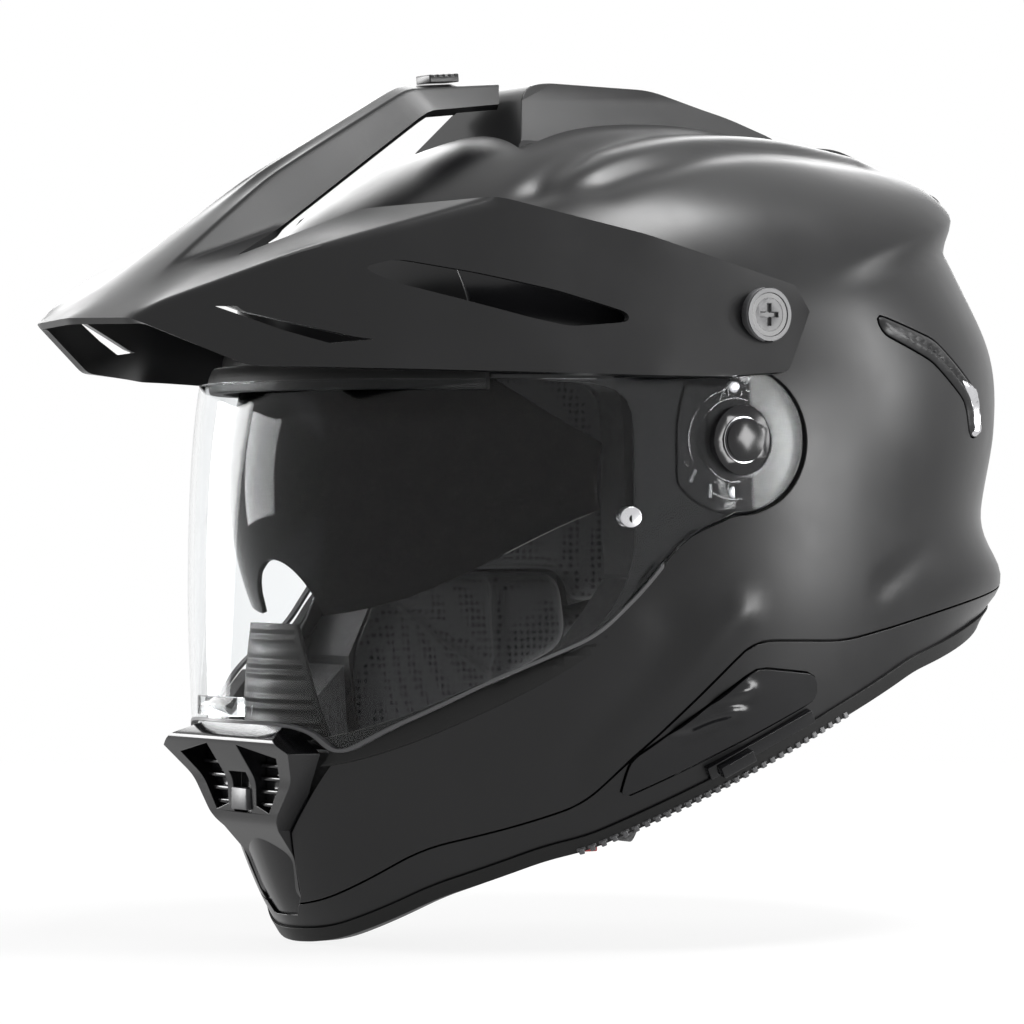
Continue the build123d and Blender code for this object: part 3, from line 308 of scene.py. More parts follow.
def mesh_fabric(tree, shader, place, thread, gap, scale):
    """An open knit: round holes in rows, with soft fuzz over it."""
    holes = add(tree, "TexVoronoi", place, Scale=scale, Randomness=0.15).outputs["Distance"]
    fuzz = add(tree, "TexNoise", place, Scale=1600.0, Detail=4.0).outputs["Fac"]
    open_part = ranged(tree, holes, 1.0, 0.0, 0.22, 0.42)
    tint(tree, shader, open_part, thread, gap)
    roughen(tree, shader, fuzz, 0.75, 0.95)
    first = bumped(tree, shader, open_part, -0.7, 0.0007)
    bumped(tree, shader, fuzz, 0.25, 0.0003, first)
    set_inputs(shader, Sheen_Weight=0.12, Sheen_Roughness=0.5, Specular_IOR_Level=0.2)


def woven(tree, shader, place, dark, light, pitch):
    waves = [
        add(tree, "TexWave", place, bands_direction=axis, Scale=pitch, Distortion=0.4).outputs["Fac"]
        for axis in ("X", "Y")
    ]
    crossed = add(tree, "Math", *waves, operation="MULTIPLY").outputs[0]
    tint(tree, shader, crossed, dark, light)
    roughen(tree, shader, crossed, 0.65, 0.9)
    bumped(tree, shader, crossed, 0.6, 0.0005)
    set_inputs(shader, Sheen_Weight=0.15)


def finished(name, make, *values):
    """A new material, its nodes filled in by one of the functions above."""
    material = bpy.data.materials.new(name)
    material.use_nodes = True
    tree = material.node_tree
    make(tree, tree.nodes["Principled BSDF"], add(tree, "TexCoord").outputs["Object"], *values)
    return material


FINISHES = {
    "matte_black": (
        moulded, (0.0035, 0.0035, 0.004), (0.006, 0.006, 0.0065), (0.28, 0.36), 1300.0, 0.03, 0.33,
    ),
    "gloss_black": (moulded, (0.004, 0.004, 0.0045), (0.008, 0.008, 0.009), (0.14, 0.24), 500.0, 0.02, 0.3),
    "grey_plastic": (moulded, (0.055, 0.055, 0.058), (0.09, 0.09, 0.093), (0.3, 0.42), 800.0, 0.08),
    "black_rubber": (moulded, (0.006, 0.006, 0.006), (0.012, 0.012, 0.012), (0.42, 0.55), 700.0, 0.1, 0.2),
    "clear_shield": (clear_plastic, (0.97, 0.98, 0.985), (0.0, 0.01), 1.18),
    "smoke_visor": (clear_plastic, (0.006, 0.006, 0.0065), (0.02, 0.05), 1.12),
    "foam_black": (beaded_foam,),
    "lining_fabric": (mesh_fabric, (0.034, 0.034, 0.036), (0.003, 0.003, 0.0035), 340.0),
    "webbing": (woven, (0.01, 0.01, 0.01), (0.04, 0.04, 0.042), 260.0),
    "red_webbing": (woven, (0.28, 0.008, 0.01), (0.62, 0.03, 0.03), 260.0),
    "steel": (moulded, (0.45, 0.45, 0.46), (0.68, 0.68, 0.7), (0.18, 0.34), 600.0, 0.05, 0.5, 1.0),
}
FINISH = {name: finished(name, *values) for name, values in FINISHES.items()}
NODE_SLOT = {part["node"]: part["material_slot"] for part in frame["record"]["subparts"]}
NODE_BODY = {
    node: body for body, nodes in frame["record"]["behaviour"]["bodies"].items() for node in nodes
}


# Surfaces and distances


def scaled(point):
    """A side view place in shares, in metres."""
    y, z = point
    return y * (REAR if y > 0 else FRONT), z * (CROWN if z > 0 else DROP)


def front_scaled(point):
    x, z = point
    return x * HALF_WIDTH, z * (CROWN if z > 0 else DROP)


def front_ring(outline):
    """The whole ring of an outline that is given from the front, on the wearer's left only."""
    left = [front_scaled(p) for p in outline]
    return left + [(-x, z) for x, z in reversed(left)]


PIVOT = scaled(PIVOT_SHARE)
SUN_PIVOT = scaled(SUN_PIVOT_SHARE)
FASTENER = scaled(FASTENER_SHARE)
PIN = scaled(PIN_SHARE)


def table_of(rows):
    """Rows of shares turned into metres and radians."""
    out = []
    for height, front, rear, width, blunt, blunt_rear, lean in rows:
        z = height * (CROWN if height > 0 else DROP)
        out.append(
            (z, front * FRONT, rear * REAR, width * HALF_WIDTH, blunt, blunt_rear, math.radians(lean))
        )
    return np.array(out)


SKIN = table_of(SHELL_ROWS)
LENS_TABLE = table_of([(h, f, 0.5, w, b, b, 0) for h, f, w, b in SHIELD_ROWS])
LENS_TABLE[:, 1] += SHIELD_AHEAD
LENS_TABLE[:, 3] -= SHIELD_SIDE


def between_rows(table, row):
    """A smooth curve through the rows of a table."""
    last = len(table) - 1
    i = np.clip(np.floor(row).astype(int), 0, last - 1)
    u = (row - i)[:, None]
    a, b, c, d = (table[np.clip(i + k, 0, last)] for k in (-1, 0, 1, 2))
    return 0.5 * (2 * b + (c - a) * u + (2 * a - 5 * b + 4 * c - d) * u**2 + (3 * b - a - 3 * c + d) * u**3)


def three_ways(depth):
    """A depth at the sides, the ends and the top."""
    return depth if isinstance(depth, tuple) else (depth, depth, depth)


def surface(table, st, depth=0.0):
    """Places on a stacked surface: st holds a row number and a turn from the front for each."""
    side, ends, top = three_ways(depth)
    row = between_rows(table, st[:, 0])
    flat, steep = np.cos(row[:, 6]), np.sin(row[:, 6])
    z = row[:, 0] - top * steep
    front, rear = row[:, 1] - ends * flat, row[:, 2] - ends * flat
    width = row[:, 3] - side * flat
    ahead, across = np.cos(st[:, 1]), np.sin(st[:, 1])
    power = 2 / np.where(ahead > 0, row[:, 4], row[:, 5])
    length = np.where(ahead > 0, front + WIDEST, rear - WIDEST)
    x = width * np.sign(across) * np.abs(across) ** power
    y = WIDEST - length * np.sign(ahead) * np.abs(ahead) ** power
    return np.stack([x, y, z], 1)


def skin_x(y, z):
    """Half width of the shell at a side view place."""
    rows = np.linspace(0, len(SKIN) - 1, 400)
    heights = between_rows(SKIN, rows)[:, 0]
    row = between_rows(SKIN, np.array([np.interp(z, heights, rows)]))[0]
    blunt = row[4] if y < WIDEST else row[5]
    length = row[1] + WIDEST if y < WIDEST else row[2] - WIDEST
    left = 1 - min(1.0, abs(y - WIDEST) / length) ** blunt
    return row[3] * left ** (1 / blunt)


def rounded(shares, radius, steps=5):
    """A side view outline in metres, each corner replaced by a small curve."""
    points = [scaled(p) for p in shares]
    ring = []
    count = len(points)
    for i, corner in enumerate(points):
        before, after = Vector(points[i - 1]), Vector(points[(i + 1) % count])
        corner = Vector(corner)
        into, out = before - corner, after - corner
        a = corner + into.normalized() * min(radius, 0.45 * into.length)
        b = corner + out.normalized() * min(radius, 0.45 * out.length)
        for k in range(steps + 1):
            u = k / steps
            ring.append(tuple(a * (1 - u) ** 2 + corner * 2 * u * (1 - u) + b * u**2))
    return ring


def line_distance(places, line):
    """Distance of flat or solid places from a line of straight stretches."""
    best = np.full(len(places), np.inf)
    for start, stop in zip(line, line[1:]):
        along, offset = stop - start, places - start
        share = np.clip((offset @ along) / max(along @ along, 1e-18), 0, 1)
        best = np.minimum(best, np.linalg.norm(offset - share[:, None] * along, axis=1))
    return best


def ring_distance(places, ring):
    """Signed distance of flat places from a ring: negative inside."""
    ring = np.array([*ring, ring[0]])
    inside = np.zeros(len(places), bool)
    for p, q in zip(ring, ring[1:]):
        if p[1] != q[1]:
            crosses = (p[1] > places[:, 1]) != (q[1] > places[:, 1])
            where = p[0] + (places[:, 1] - p[1]) / (q[1] - p[1]) * (q[0] - p[0])
            inside ^= crosses & (places[:, 0] < where)
    best = line_distance(places, ring)
    return np.where(inside, -best, best)


def outside(shares, radius=0.004, turn=0.0):
    """A distance from a side view outline, positive outside it; turn swings it about the pivot."""
    ring = rounded(shares, radius)

    def distance(points):
        places = points[:, 1:]
        if turn:
            y, z = (places - PIVOT).T
            c, s = math.cos(turn), math.sin(turn)
            places = np.stack([c * y - s * z, s * y + c * z], 1) + PIVOT
        return ring_distance(places, ring)

    return distance


def off_disc(centre, radius):
    return lambda points: np.hypot(points[:, 1] - centre[0], points[:, 2] - centre[1]) - radius


def beyond(distance, margin):
    return lambda points: distance(points) - margin


def within(distance, margin=0.0):
    return lambda points: margin - distance(points)


def beside(distance, margin):
    return lambda points: margin - np.abs(distance(points))


def lengthwise(points):
    return points[:, 1]


def upright(points):
    return points[:, 2]


off_port, off_skirt, off_rim = outside(PORT, 0.014), outside(SKIRT_TOP, 0.008), outside(RIM, 0.006)
off_pod, off_exhaust, off_lens = outside(POD), outside(EXHAUST), outside(LENS, LENS_CORNER)
off_arm, off_pin = off_disc(PIVOT, ARM_RADIUS), off_disc(PIN, PIN_RADIUS)
SWING = [off_disc(PIVOT, ARM_RADIUS + SWING_GAP)]
SWING += [beyond(outside(LENS, LENS_CORNER, math.radians(a)), SWING_GAP) for a in OPEN_STEPS_DEG]


def swept(points):
    """Distance from all that the shield's arms pass over; the front of the helmet counts as outside."""
    room = np.min([distance(points) for distance in SWING], 0)
    return np.maximum(room, SWING_FRONT - points[:, 1])


def off_chin_vent(points):
    """Distance from the chin vent's outline from the front, only on the helmet's front."""
    flat = ring_distance(points[:, [0, 2]], front_ring(VENT_FRONT))
    return np.maximum(flat, points[:, 1] - VENT_BACK)


def clip(table, depth, st, faces, value):
    """Keeps the part of a grid where value is positive, with new corners right on the line."""

    def measure(where):
        return value(surface(table, where, depth))

    st = st.copy()
    v = measure(st)
    pairs = {
        (min(a, b), max(a, b)) for face in faces for a, b in zip([face[-1], *face], face) if v[a] * v[b] < 0
    }
    pairs = np.array(sorted(pairs), int).reshape(-1, 2)
    spots = ()
    if len(pairs):
        low, high = np.zeros(len(pairs)), np.ones(len(pairs))
        a, b = st[pairs[:, 0]], st[pairs[:, 1]]
        sign = np.sign(v[pairs[:, 0]])
        for _ in range(HALVINGS):
            mid = (low + high) / 2
            same = np.sign(measure(a + (b - a) * mid[:, None])) == sign
            low, high = np.where(same, mid, low), np.where(same, high, mid)
        share = (low + high) / 2
        spots = a + (b - a) * share[:, None]
        moved = set()
        for (i, j), u, spot in zip(pairs, share, spots):
            for corner, near in ((i, u < SNAP), (j, u > 1 - SNAP)):
                if near and corner not in moved:
                    moved.add(corner)
                    st[corner] = spot
                    v[corner] = 0.0
    extra, number = [], {}
    for (i, j), spot in zip(map(tuple, pairs), spots):
        if v[i] * v[j] < 0:
            number[(i, j)] = len(st) + len(extra)
            extra.append(spot)
    kept = []
    for face in faces:
        values = v[list(face)]
        if values.min() >= 0 and values.max() > 0:
            kept.append(face)
            continue
        if values.max() <= 0:
            continue
        ring = []
        for a, b in zip([face[-1], *face], face):
            key = (min(a, b), max(a, b))
            if key in number:
                ring.append(number[key])
            if v[b] >= 0:
                ring.append(b)
        if len(ring) > 2:
            kept.append(ring)
    if extra:
        st = np.vstack([st, extra])
    return st, kept


def grid_faces(rows, columns):
    wide = columns + 1
    return [
        [r * wide + c, r * wide + c + 1, (r + 1) * wide + c + 1, (r + 1) * wide + c]
        for r in range(rows)
        for c in range(columns)
    ]


def walled(faces, count, joined=lambda a, b: False):
    """Faces of a closed solid of two like layers, the second one count corners on in the list."""
    edges = {(face[k - 1], face[k]): True for face in faces for k in range(len(face))}
    walls = [
        [b, a, a + count, b + count] for a, b in edges if (b, a) not in edges and not joined(a, b)
    ]
    return [list(f) for f in faces] + [[i + count for i in reversed(f)] for f in faces] + walls


class Panel:
    """A piece of a stacked surface, cut to shape by distances."""

    def __init__(self, table, rows, columns, row_range=None, turns=(0.0, 2 * math.pi), depth=0.0):
        low, high = row_range or (0, len(table) - 1)
        self.table, self.depth, self.limits = table, depth, []
        s = np.linspace(low, high, rows + 1)
        t = np.linspace(turns[0], turns[1], columns + 1)
        self.st = np.array([(a, b) for a in s for b in t])
        self.faces = grid_faces(rows, columns)

    def keep(self, *values):
        for value in values:
            self.st, self.faces = clip(self.table, self.depth, self.st, self.faces, value)
            self.limits.append(value)

    def edge_distance(self):
        points = self.at(self.depth)
        return np.clip(np.min([value(points) for value in self.limits], 0), 0, None)

    def at(self, depth):
        return surface(self.table, self.st, depth)

    def solid(self, name, slot, outer, inner, bevel, *nodes, body="helmet"):
        """A closed piece between two depths or sets of places, walled along every cut."""
        layers = [self.at(layer) if np.ndim(layer) < 2 else layer for layer in (outer, inner)]
        turn = self.st[:, 1]
        seams = turn < 1e-9, turn > 2 * math.pi - 1e-9
        faces = walled(
            self.faces, len(self.st), lambda a, b: any(seam[a] and seam[b] for seam in seams)
        )
        return settle(make_piece(name, slot, np.vstack(layers), faces, bevel), body, *nodes)


# Pieces


def new_object(name, data):
    thing = bpy.data.objects.new(name, data)
    bpy.context.scene.collection.objects.link(thing)
    return thing


def mend(mesh, join=False, outward=False, flat=False):
    """Joins doubled corners, turns faces outward, and joins the triangles of flat faces again."""
    work = bmesh.new()
    work.from_mesh(mesh)
    if join:
        bmesh.ops.remove_doubles(work, verts=work.verts, dist=JOIN_DISTANCE)
    if outward:
        bmesh.ops.recalc_face_normals(work, faces=work.faces)
    if flat:
        bmesh.ops.dissolve_limit(
            work, angle_limit=math.radians(FLAT_DEG), verts=work.verts, edges=work.edges
        )
    work.to_mesh(mesh)
    work.free()


def dress(piece, slot):
    """Smooth shading and a slot's finish."""
    piece.data.materials.clear()
    piece.data.materials.append(FINISH[slot])
    for face in piece.data.polygons:
        face.use_smooth = True


def make_piece(name, slot, points, faces, bevel):
    mesh = bpy.data.meshes.new(name)
    used = sorted({i for face in faces for i in face})
    number = {old: new for new, old in enumerate(used)}
    mesh.from_pydata([tuple(points[i]) for i in used], [], [[number[i] for i in face] for face in faces])
    mend(mesh, join=True, outward=True)
    return add_piece(name, slot, mesh, bevel)


def add_piece(name, slot, mesh, bevel):
    piece = new_object(name, mesh)
    dress(piece, slot)
    if bevel:
        round_edges(piece, bevel)
    return piece


def round_edges(piece, width, steps=2, angle=38.0):
    bevel = piece.modifiers.new("rounding", "BEVEL")
    bevel.width, bevel.segments = width, steps
    bevel.limit_method, bevel.angle_limit = "ANGLE", math.radians(angle)
    bevel.use_clamp_overlap = True
    bevel.harden_normals = True
    bake(piece)


def bake(piece):
    """Puts the result of a piece's modifiers into its mesh."""
    graph = bpy.context.evaluated_depsgraph_get()
    mesh = bpy.data.meshes.new_from_object(piece.evaluated_get(graph), depsgraph=graph)
    piece.modifiers.clear()
    piece.data = mesh


def combine(piece, other, operation):
    """A boolean of two pieces; the second one is used up."""
    change = piece.modifiers.new("cut", "BOOLEAN")
    change.operation, change.solver, change.object = operation, "EXACT", other
    bake(piece)
    bpy.data.objects.remove(other, do_unlink=True)


def plain_solid(name, points, faces):
    mesh = bpy.data.meshes.new(name)
    mesh.from_pydata([tuple(p) for p in points], [], faces)
    mend(mesh, outward=True)
    return new_object(name, mesh)


def prism(name, ring, low, high, axis):
    """A ring run along one axis, 0 across or 1 along the helmet."""
    points = [(end, a, b) if axis == 0 else (a, end, b) for end in (low, high) for a, b in ring]
    count = len(ring)
    faces = [list(range(count)), list(range(2 * count - 1, count - 1, -1))]
    faces += [[i, (i + 1) % count, (i + 1) % count + count, i + count] for i in range(count)]
    return plain_solid(name, points, faces)


def housing(name, side, front, radius):
    """A solid with one outline from the side and one from the front."""
    block = prism(name, rounded(side, radius), -2 * HALF_WIDTH, 2 * HALF_WIDTH, 0)
    combine(block, prism("front", front_ring(front), -2 * FRONT, 2 * REAR, 1), "INTERSECT")
    return block


def finish_block(block, slot, bevel, steps, node):
    dress(block, slot)
    mend(block.data, join=True, flat=True)
    round_edges(block, bevel, steps, 25.0)
    settle(block, "helmet", node)


def settle(piece, body, *nodes):
    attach(piece, body)
    if nodes:
        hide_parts(*nodes)
    return piece


def refine(node):
    """A CAD node's shape with its edges rounded, in place of the node."""
    mesh = frame["nodes"][node].data.copy()
    mend(mesh, join=True, flat=True)
    settle(add_piece(node + "_rounded", NODE_SLOT[node], mesh, SMALL_BEVEL), NODE_BODY[node], node)


def lathe(name, slot, profile, centre, side, columns, bevel):
    """A round solid across the helmet: profile holds radius and distance from the mid plane."""
    points, faces = [], []
    count = len(profile)
    for c in range(columns):
        turn = 2 * math.pi * c / columns
        for radius, x in profile:
            points.append(
                (side * x, centre[0] + radius * math.cos(turn), centre[1] + radius * math.sin(turn))
            )
        d = (c + 1) % columns
        for k in range(count - 1):
            faces.append([c * count + k, d * count + k, d * count + k + 1, c * count + k + 1])
    return make_piece(name, slot, np.array(points), faces, bevel)


def beam(middle, along, up, size):
    """Corners and faces of a box with its own directions."""
    along, up = Vector(along).normalized(), Vector(up)
    out = along.cross(up).normalized()
    up = out.cross(along).normalized()
    half = [axis * length / 2 for axis, length in zip((along, out, up), size)]
    corners = [
        Vector(middle) + half[0] * i + half[1] * j + half[2] * k
        for i in (-1, 1)
        for j in (-1, 1)
        for k in (-1, 1)
    ]
    faces = [[0, 1, 3, 2], [4, 6, 7, 5], [0, 4, 5, 1], [2, 3, 7, 6], [0, 2, 6, 4], [1, 5, 7, 3]]
    return corners, faces


def many(name, slot, solids, bevel):
    """One piece made of several small solids."""
    points, faces = [], []
    for corners, sides in solids:
        base = len(points)
        points += [tuple(c) for c in corners]
        faces += [[i + base for i in side] for side in sides]
    return make_piece(name, slot, np.array(points), faces, bevel)


# Camera, lights and stage


def make_camera():
    c, s = math.cos(CAMERA_TURN), math.sin(CAMERA_TURN)
    data = bpy.data.cameras.new("camera")
    camera = new_object("camera", data)
    camera.location = (
        CAMERA_AWAY * s + CAMERA_ASIDE * c, -CAMERA_AWAY * c + CAMERA_ASIDE * s, CAMERA_UP,
    )
    camera.rotation_euler = Vector((-s, c, 0)).to_track_quat("-Z", "Y").to_euler()
    data.sensor_width = SENSOR
    data.lens = SENSOR * CAMERA_AWAY / CAMERA_WIDTH
    bpy.context.scene.camera = camera


def for_eyes(tree):
    """A share of 1 where the camera, glossy surfaces or glass look, and 0 for the light itself."""
    path = add(tree, "LightPath")
    seen = path.outputs["Is Camera Ray"]
    for name in ("Is Glossy Ray", "Is Transmission Ray"):
        seen = add(tree, "Math", seen, path.outputs[name], operation="MAXIMUM").outputs[0]
    return seen


def mix_to(tree, share, first, second, out):
    mix = add(tree, "MixShader", share, first.outputs[0], second.outputs[0])
    tree.links.new(mix.outputs[0], out.inputs["Surface"])


def make_stage(low):
    world = bpy.data.worlds.new("studio")
    bpy.context.scene.world = world
    world.use_nodes = True
    tree = world.node_tree
    tree.nodes.clear()
    dim = add(tree, "Background", Color=WHITE, Strength=WORLD_LIGHT)
    white = add(tree, "Background", Color=WHITE, Strength=1.0)
    mix_to(tree, for_eyes(tree), dim, white, add(tree, "OutputWorld"))

    corners = [(-1, -1), (1, -1), (1, 1), (-1, 1)]
    floor = plain_solid("floor", [(x * FLOOR_SIZE, y * FLOOR_SIZE, low) for x, y in corners], [[0, 1, 2, 3]])
    floor.data.materials.append(finished("floor_white", fading_white))


def fading_white(tree, shader, place):
    """Nearly white, and plain white for the camera further off."""
    cloud = add(tree, "TexNoise", place, Scale=3.0).outputs["Fac"]
    tint(tree, shader, cloud, (0.84, 0.84, 0.84), (0.88, 0.88, 0.88))
    set_inputs(shader, Roughness=0.9)
    reach = add(tree, "VectorMath", place, operation="LENGTH").outputs["Value"]
    fade = ranged(tree, reach, *FLOOR_FADE)
    share = add(tree, "Math", for_eyes(tree), fade, operation="MULTIPLY").outputs[0]
    glow = add(tree, "Emission", Color=WHITE, Strength=1.0)
    mix_to(tree, share, shader, glow, tree.nodes["Material Output"])


def make_lights():
    # name, place, target, size, watts
    lamps = (
        ("overhead", (0.45, 0.35, 1.6), (0, 0, 0.05), (0.8, 0.5), 28),
        ("shield_band", (-1.4, -0.8, 0.05), (0, -0.12, 0), (0.6, 1.3), 34),
        ("rear_wall", (1.1, 1.35, 0.6), (0.05, 0.05, 0.05), (0.35, 0.9), 13),
        ("far_side", (-1.25, 0.72, 0.62), (0, 0, 0.1), (1.1, 0.9), 11),
        ("low_side", (1.22, 0.7, 0.05), (0.1, -0.02, -0.03), (0.4, 0.35), 8),
    )
    for name, place, target, size, watts in lamps:
        data = bpy.data.lights.new(name, "AREA")
        data.shape, data.size, data.size_y, data.energy = "RECTANGLE", size[0], size[1], watts
        lamp = new_object(name, data)
        lamp.location = place
        lamp.rotation_euler = (Vector(target) - Vector(place)).to_track_quat("-Z", "Y").to_euler()


# The shell and its panels


def near_line(points, line):
    """Distance from a line of places given in millimetres, the two sides folded together."""
    folded = points * 1000
    folded[:, 0] = np.abs(folded[:, 0])
    return line_distance(folded, np.array(line, float))


def ramp(value, start, stop):
    u = np.clip((value - start) / (stop - start), 0, 1)
    return u * u * (3 - 2 * u)


def ridge(away, height, width):
    return height * np.exp(-((away / width) ** 2))


def relief(points):
    """How far the shell stands out from its rows: swoops, the rear lip and the flare under it."""
    lift = sum(ridge(near_line(points, line), height, width) for line, height, width in SWOOPS)
    y, z = points[:, 1] * 1000, points[:, 2] * 1000
    above = z - (LIP_START[1] + (y - LIP_START[0]) * LIP_SLOPE)
    step = ramp(above, *LIP_RISE) * (1 - ramp(above, *LIP_FADE))
    lift += LIP_LIFT * ramp(y, LIP_START[0], LIP_START[0] + LIP_REACH) * step
    low = ramp(z, *FLARE_TOP) * (1 - ramp(z, *FLARE_FOOT))
    lift += FLARE_LIFT * ramp(y, *FLARE_REACH) * low**2
    return lift / 1000


def raised(panel, depth):
    """Places of a panel at a depth under the shell's relief, never deeper than the wall."""
    lift = relief(panel.at(0.0))
    if depth > PROUD:
        lift = np.maximum(lift, 0)
    return panel.at(depth - lift)


def skin_walls(panel, proud=0.0):
    return raised(panel, -proud), raised(panel, SHELL_WALL + proud)


def make_shell():
    shell = Panel(SKIN, 144, 280)
    shell.keep(off_port, off_skirt, beyond(off_chin_vent, SEAM), swept)
    shell.keep(beyond(off_exhaust, SEAM), beyond(off_pod, SEAM))
    shell.solid("shell_outer_skin", "matte_black", *skin_walls(shell), 0.0008, "outer_shell")
    seat = Panel(SKIN, 72, 224)
    overlap, depths = 0.004, (0.0043, 0.006)
    seat.keep(off_port, off_skirt, within(swept, overlap))
    seat.solid("shell_arm_seat", "gloss_black", *depths, 0)


def make_skirt():
    skirt = Panel(SKIN, 72, 224, (0, 8))
    skirt.keep(within(off_skirt, -SEAM), off_rim, beyond(off_chin_vent, SEAM), beyond(off_pod, SEAM))
    skirt.solid("skirt_skin", "matte_black", *skin_walls(skirt), 0.0007, "lower_skirt")


def make_backings():
    """Dark strips behind the open seams, and the closed foot of the chin vent."""
    depths = SHELL_WALL + 0.0002, SHELL_WALL + 0.0012
    overlap, pod_overlap, inset = 0.005, 0.006, 0.001
    band = Panel(SKIN, 90, 224, (0, 8))
    band.keep(beside(off_skirt, overlap), beyond(off_rim, inset), beyond(off_chin_vent, inset))
    band.solid("seam_backing", "black_rubber", *depths, 0)
    corner_back = -0.036
    corner = Panel(SKIN, 90, 224, (0, 6))
    corner.keep(beside(off_pod, pod_overlap), beyond(off_rim, inset), within(lengthwise, corner_back))
    corner.solid("pod_corner_backing", "black_rubber", *depths, 0)
    foot_top, foot_depth, foot_overlap = -0.118, 0.0012, 0.0003
    foot = Panel(SKIN, 80, 120, (0, 3), (-0.6, 0.6))
    foot.keep(within(off_chin_vent, foot_overlap), within(upright, foot_top), off_rim)
    foot.solid("chin_vent_foot", "gloss_black", foot_depth, SHELL_WALL, SMALL_BEVEL)


def make_rim_trim():
    below, above = 0.0026, 0.003
    trim = Panel(SKIN, 200, 300, (0, 7.5))
    trim.keep(beyond(off_rim, -below), within(off_rim, above))
    trim.solid("rim_rubber", "black_rubber", *skin_walls(trim, PROUD), 0.0006, "rim_trim")


def rim_place(y):
    """The shell's outer place over the skirt's lower edge, on the wearer's left."""
    z = float(np.interp(y, *zip(*map(scaled, RIM[:8]))))
    return Vector((skin_x(y, z), y, z))


def make_rim_teeth():
    """A light strip with small teeth along the underside of the rim, both sides."""
    solids = []
    pitch, start, stop = 0.0034, -0.066, 0.034
    tooth, strip, up = (pitch * 0.6, 0.003, 0.0022), (pitch, 0.0028, 0.0012), (0, 0, 1)
    hang, strip_inset, strip_lift = 0.0022, 0.0005, 0.0008
    for side in (1, -1):
        mirror = Vector((side, 1, 1))
        for i in range(int((stop - start) / pitch)):
            y = start + i * pitch
            a, b = rim_place(y) * mirror, rim_place(y + pitch) * mirror
            middle = (a + b) / 2 - Vector((0, 0, hang))
            solids.append(beam(middle, b - a, up, tooth))
            solids.append(beam(middle - Vector((side * strip_inset, 0, -strip_lift)), b - a, up, strip))
    settle(many("rim_teeth", "grey_plastic", solids, SMALL_BEVEL), "helmet")


def side_turns(side, start, stop):
    """Turns from the front on the wearer's left, or the same stretch on the right."""
    return (start, stop) if side > 0 else (2 * math.pi - stop, 2 * math.pi - start)


def wave(points, line, height, width, drop=0.0):
    """A long soft ridge along a side view line."""
    places = np.array([scaled((y, z - drop)) for y, z in line])
    return ridge(line_distance(points[:, 1:], places), height, width)


def make_pods():
    crest, trough = (0.0018, 0.0028), (0.001, 0.0022, 0.024)  # height, width and drop
    for name, side in SIDES:
        pod = Panel(SKIN, 150, 150, (0.6, 5.0), side_turns(side, 0.35, math.pi - 0.3))
        pod.keep(within(off_pod))
        points = pod.at(0.0)
        lift = relief(points)
        for line in POD_WAVES:
            lift += wave(points, line, *crest) - wave(points, line, *trough)
        walls = pod.at(-PROUD - lift), SHELL_WALL - PROUD
        pod.solid(f"pod_skin_{name}", "gloss_black", *walls, 0.0007, f"pod_cover_{name}")


def make_exhaust_trims():
    slope, strip_slope, strip_height, least = 0.002, 0.0015, 0.0022, 0.3
    groove_place, groove_depth, groove_width = 0.0045, 0.0016, 0.0012
    for name, side in SIDES:
        turns = side_turns(side, math.pi / 2, math.pi - 0.05)
        trim = Panel(SKIN, 90, 150, (5.5, 10.0), turns)
        trim.keep(within(off_exhaust))
        edge = trim.edge_distance()
        lift = relief(trim.at(0.0)) + PROUD * np.clip(edge / slope, 0, 1)
        walls = trim.at(ridge(edge - groove_place, groove_depth, groove_width) - lift), SHELL_WALL / 2
        trim.solid(f"exhaust_skin_{name}", "matte_black", *walls, SMALL_BEVEL, f"exhaust_trim_{name}")
        strip = Panel(SKIN, 90, 150, (5.5, 10.0), turns)
        strip.keep(within(off_exhaust), within(outside(EXHAUST_STRIP, 0.003)))
        share = np.clip(strip.edge_distance() / strip_slope, least, 1)
        lift = relief(strip.at(0.0)) + strip_height * share
        strip.solid(f"exhaust_strip_{name}", "steel", strip.at(-lift), 0.0, 0.0003)


def make_gasket():
    depth, back, lip, slope, sink = 0.0031, 0.0095, 0.005, 0.003, 0.0014
    gasket = Panel(LENS_TABLE, 60, 260, (0, 5), depth=depth)
    gasket.keep(within(off_port, lip), beyond(off_port, -lip), swept, beyond(off_chin_vent, SEAM))
    edge = np.clip(gasket.edge_distance() / slope, 0, 1)
    outer = gasket.at(depth + sink * (1 - edge) ** 2)
    gasket.solid("port_gasket", "black_rubber", outer, back, 0.0005, "eyeport_gasket")


# The face shield, its pivots and the sun visor


def make_shield():
    shield = Panel(LENS_TABLE, 84, 300, (0, 5))
    shield.keep(
        lambda p: -np.minimum(off_lens(p), off_arm(p)), off_disc(PIVOT, HUB_RADIUS), off_pin,
    )
    shield.solid("shield_lens", "clear_shield", 0.0, SHIELD_WALL, 0.0005, "face_shield", body="shield")


def make_shield_edge_highlight():
    """The thick lower edge of the shield as a light grey strip: a painted highlight where the edge catches
    the light.
    """
    width, proud, back = 0.0013, 0.0003, -0.3 * FRONT
    edge = Panel(LENS_TABLE, 150, 420, (0, 3.6))
    edge.keep(within(off_lens), beyond(off_lens, -width), within(lengthwise, back), off_arm, off_pin)
    walls = -proud, SHIELD_WALL + proud
    # Opaque light grey plastic: painted highlight along the shield's edge
    edge.solid("shield_edge_painted_highlight", "grey_plastic", *walls, 0.0003, body="shield")


def plate_face(node, side):
    """Half width of a node's outer face at side view places, or None beside it."""
    thing = frame["nodes"][node]
    corners = [thing.matrix_world @ v.co for v in thing.data.vertices]
    tree = BVHTree.FromPolygons(corners, [f.vertices[:] for f in thing.data.polygons])

    def face(y, z):
        hit = tree.ray_cast(Vector((side * 0.2, y, z)), Vector((-side, 0, 0)))[0]
        return abs(hit.x) if hit is not None else None

    return face


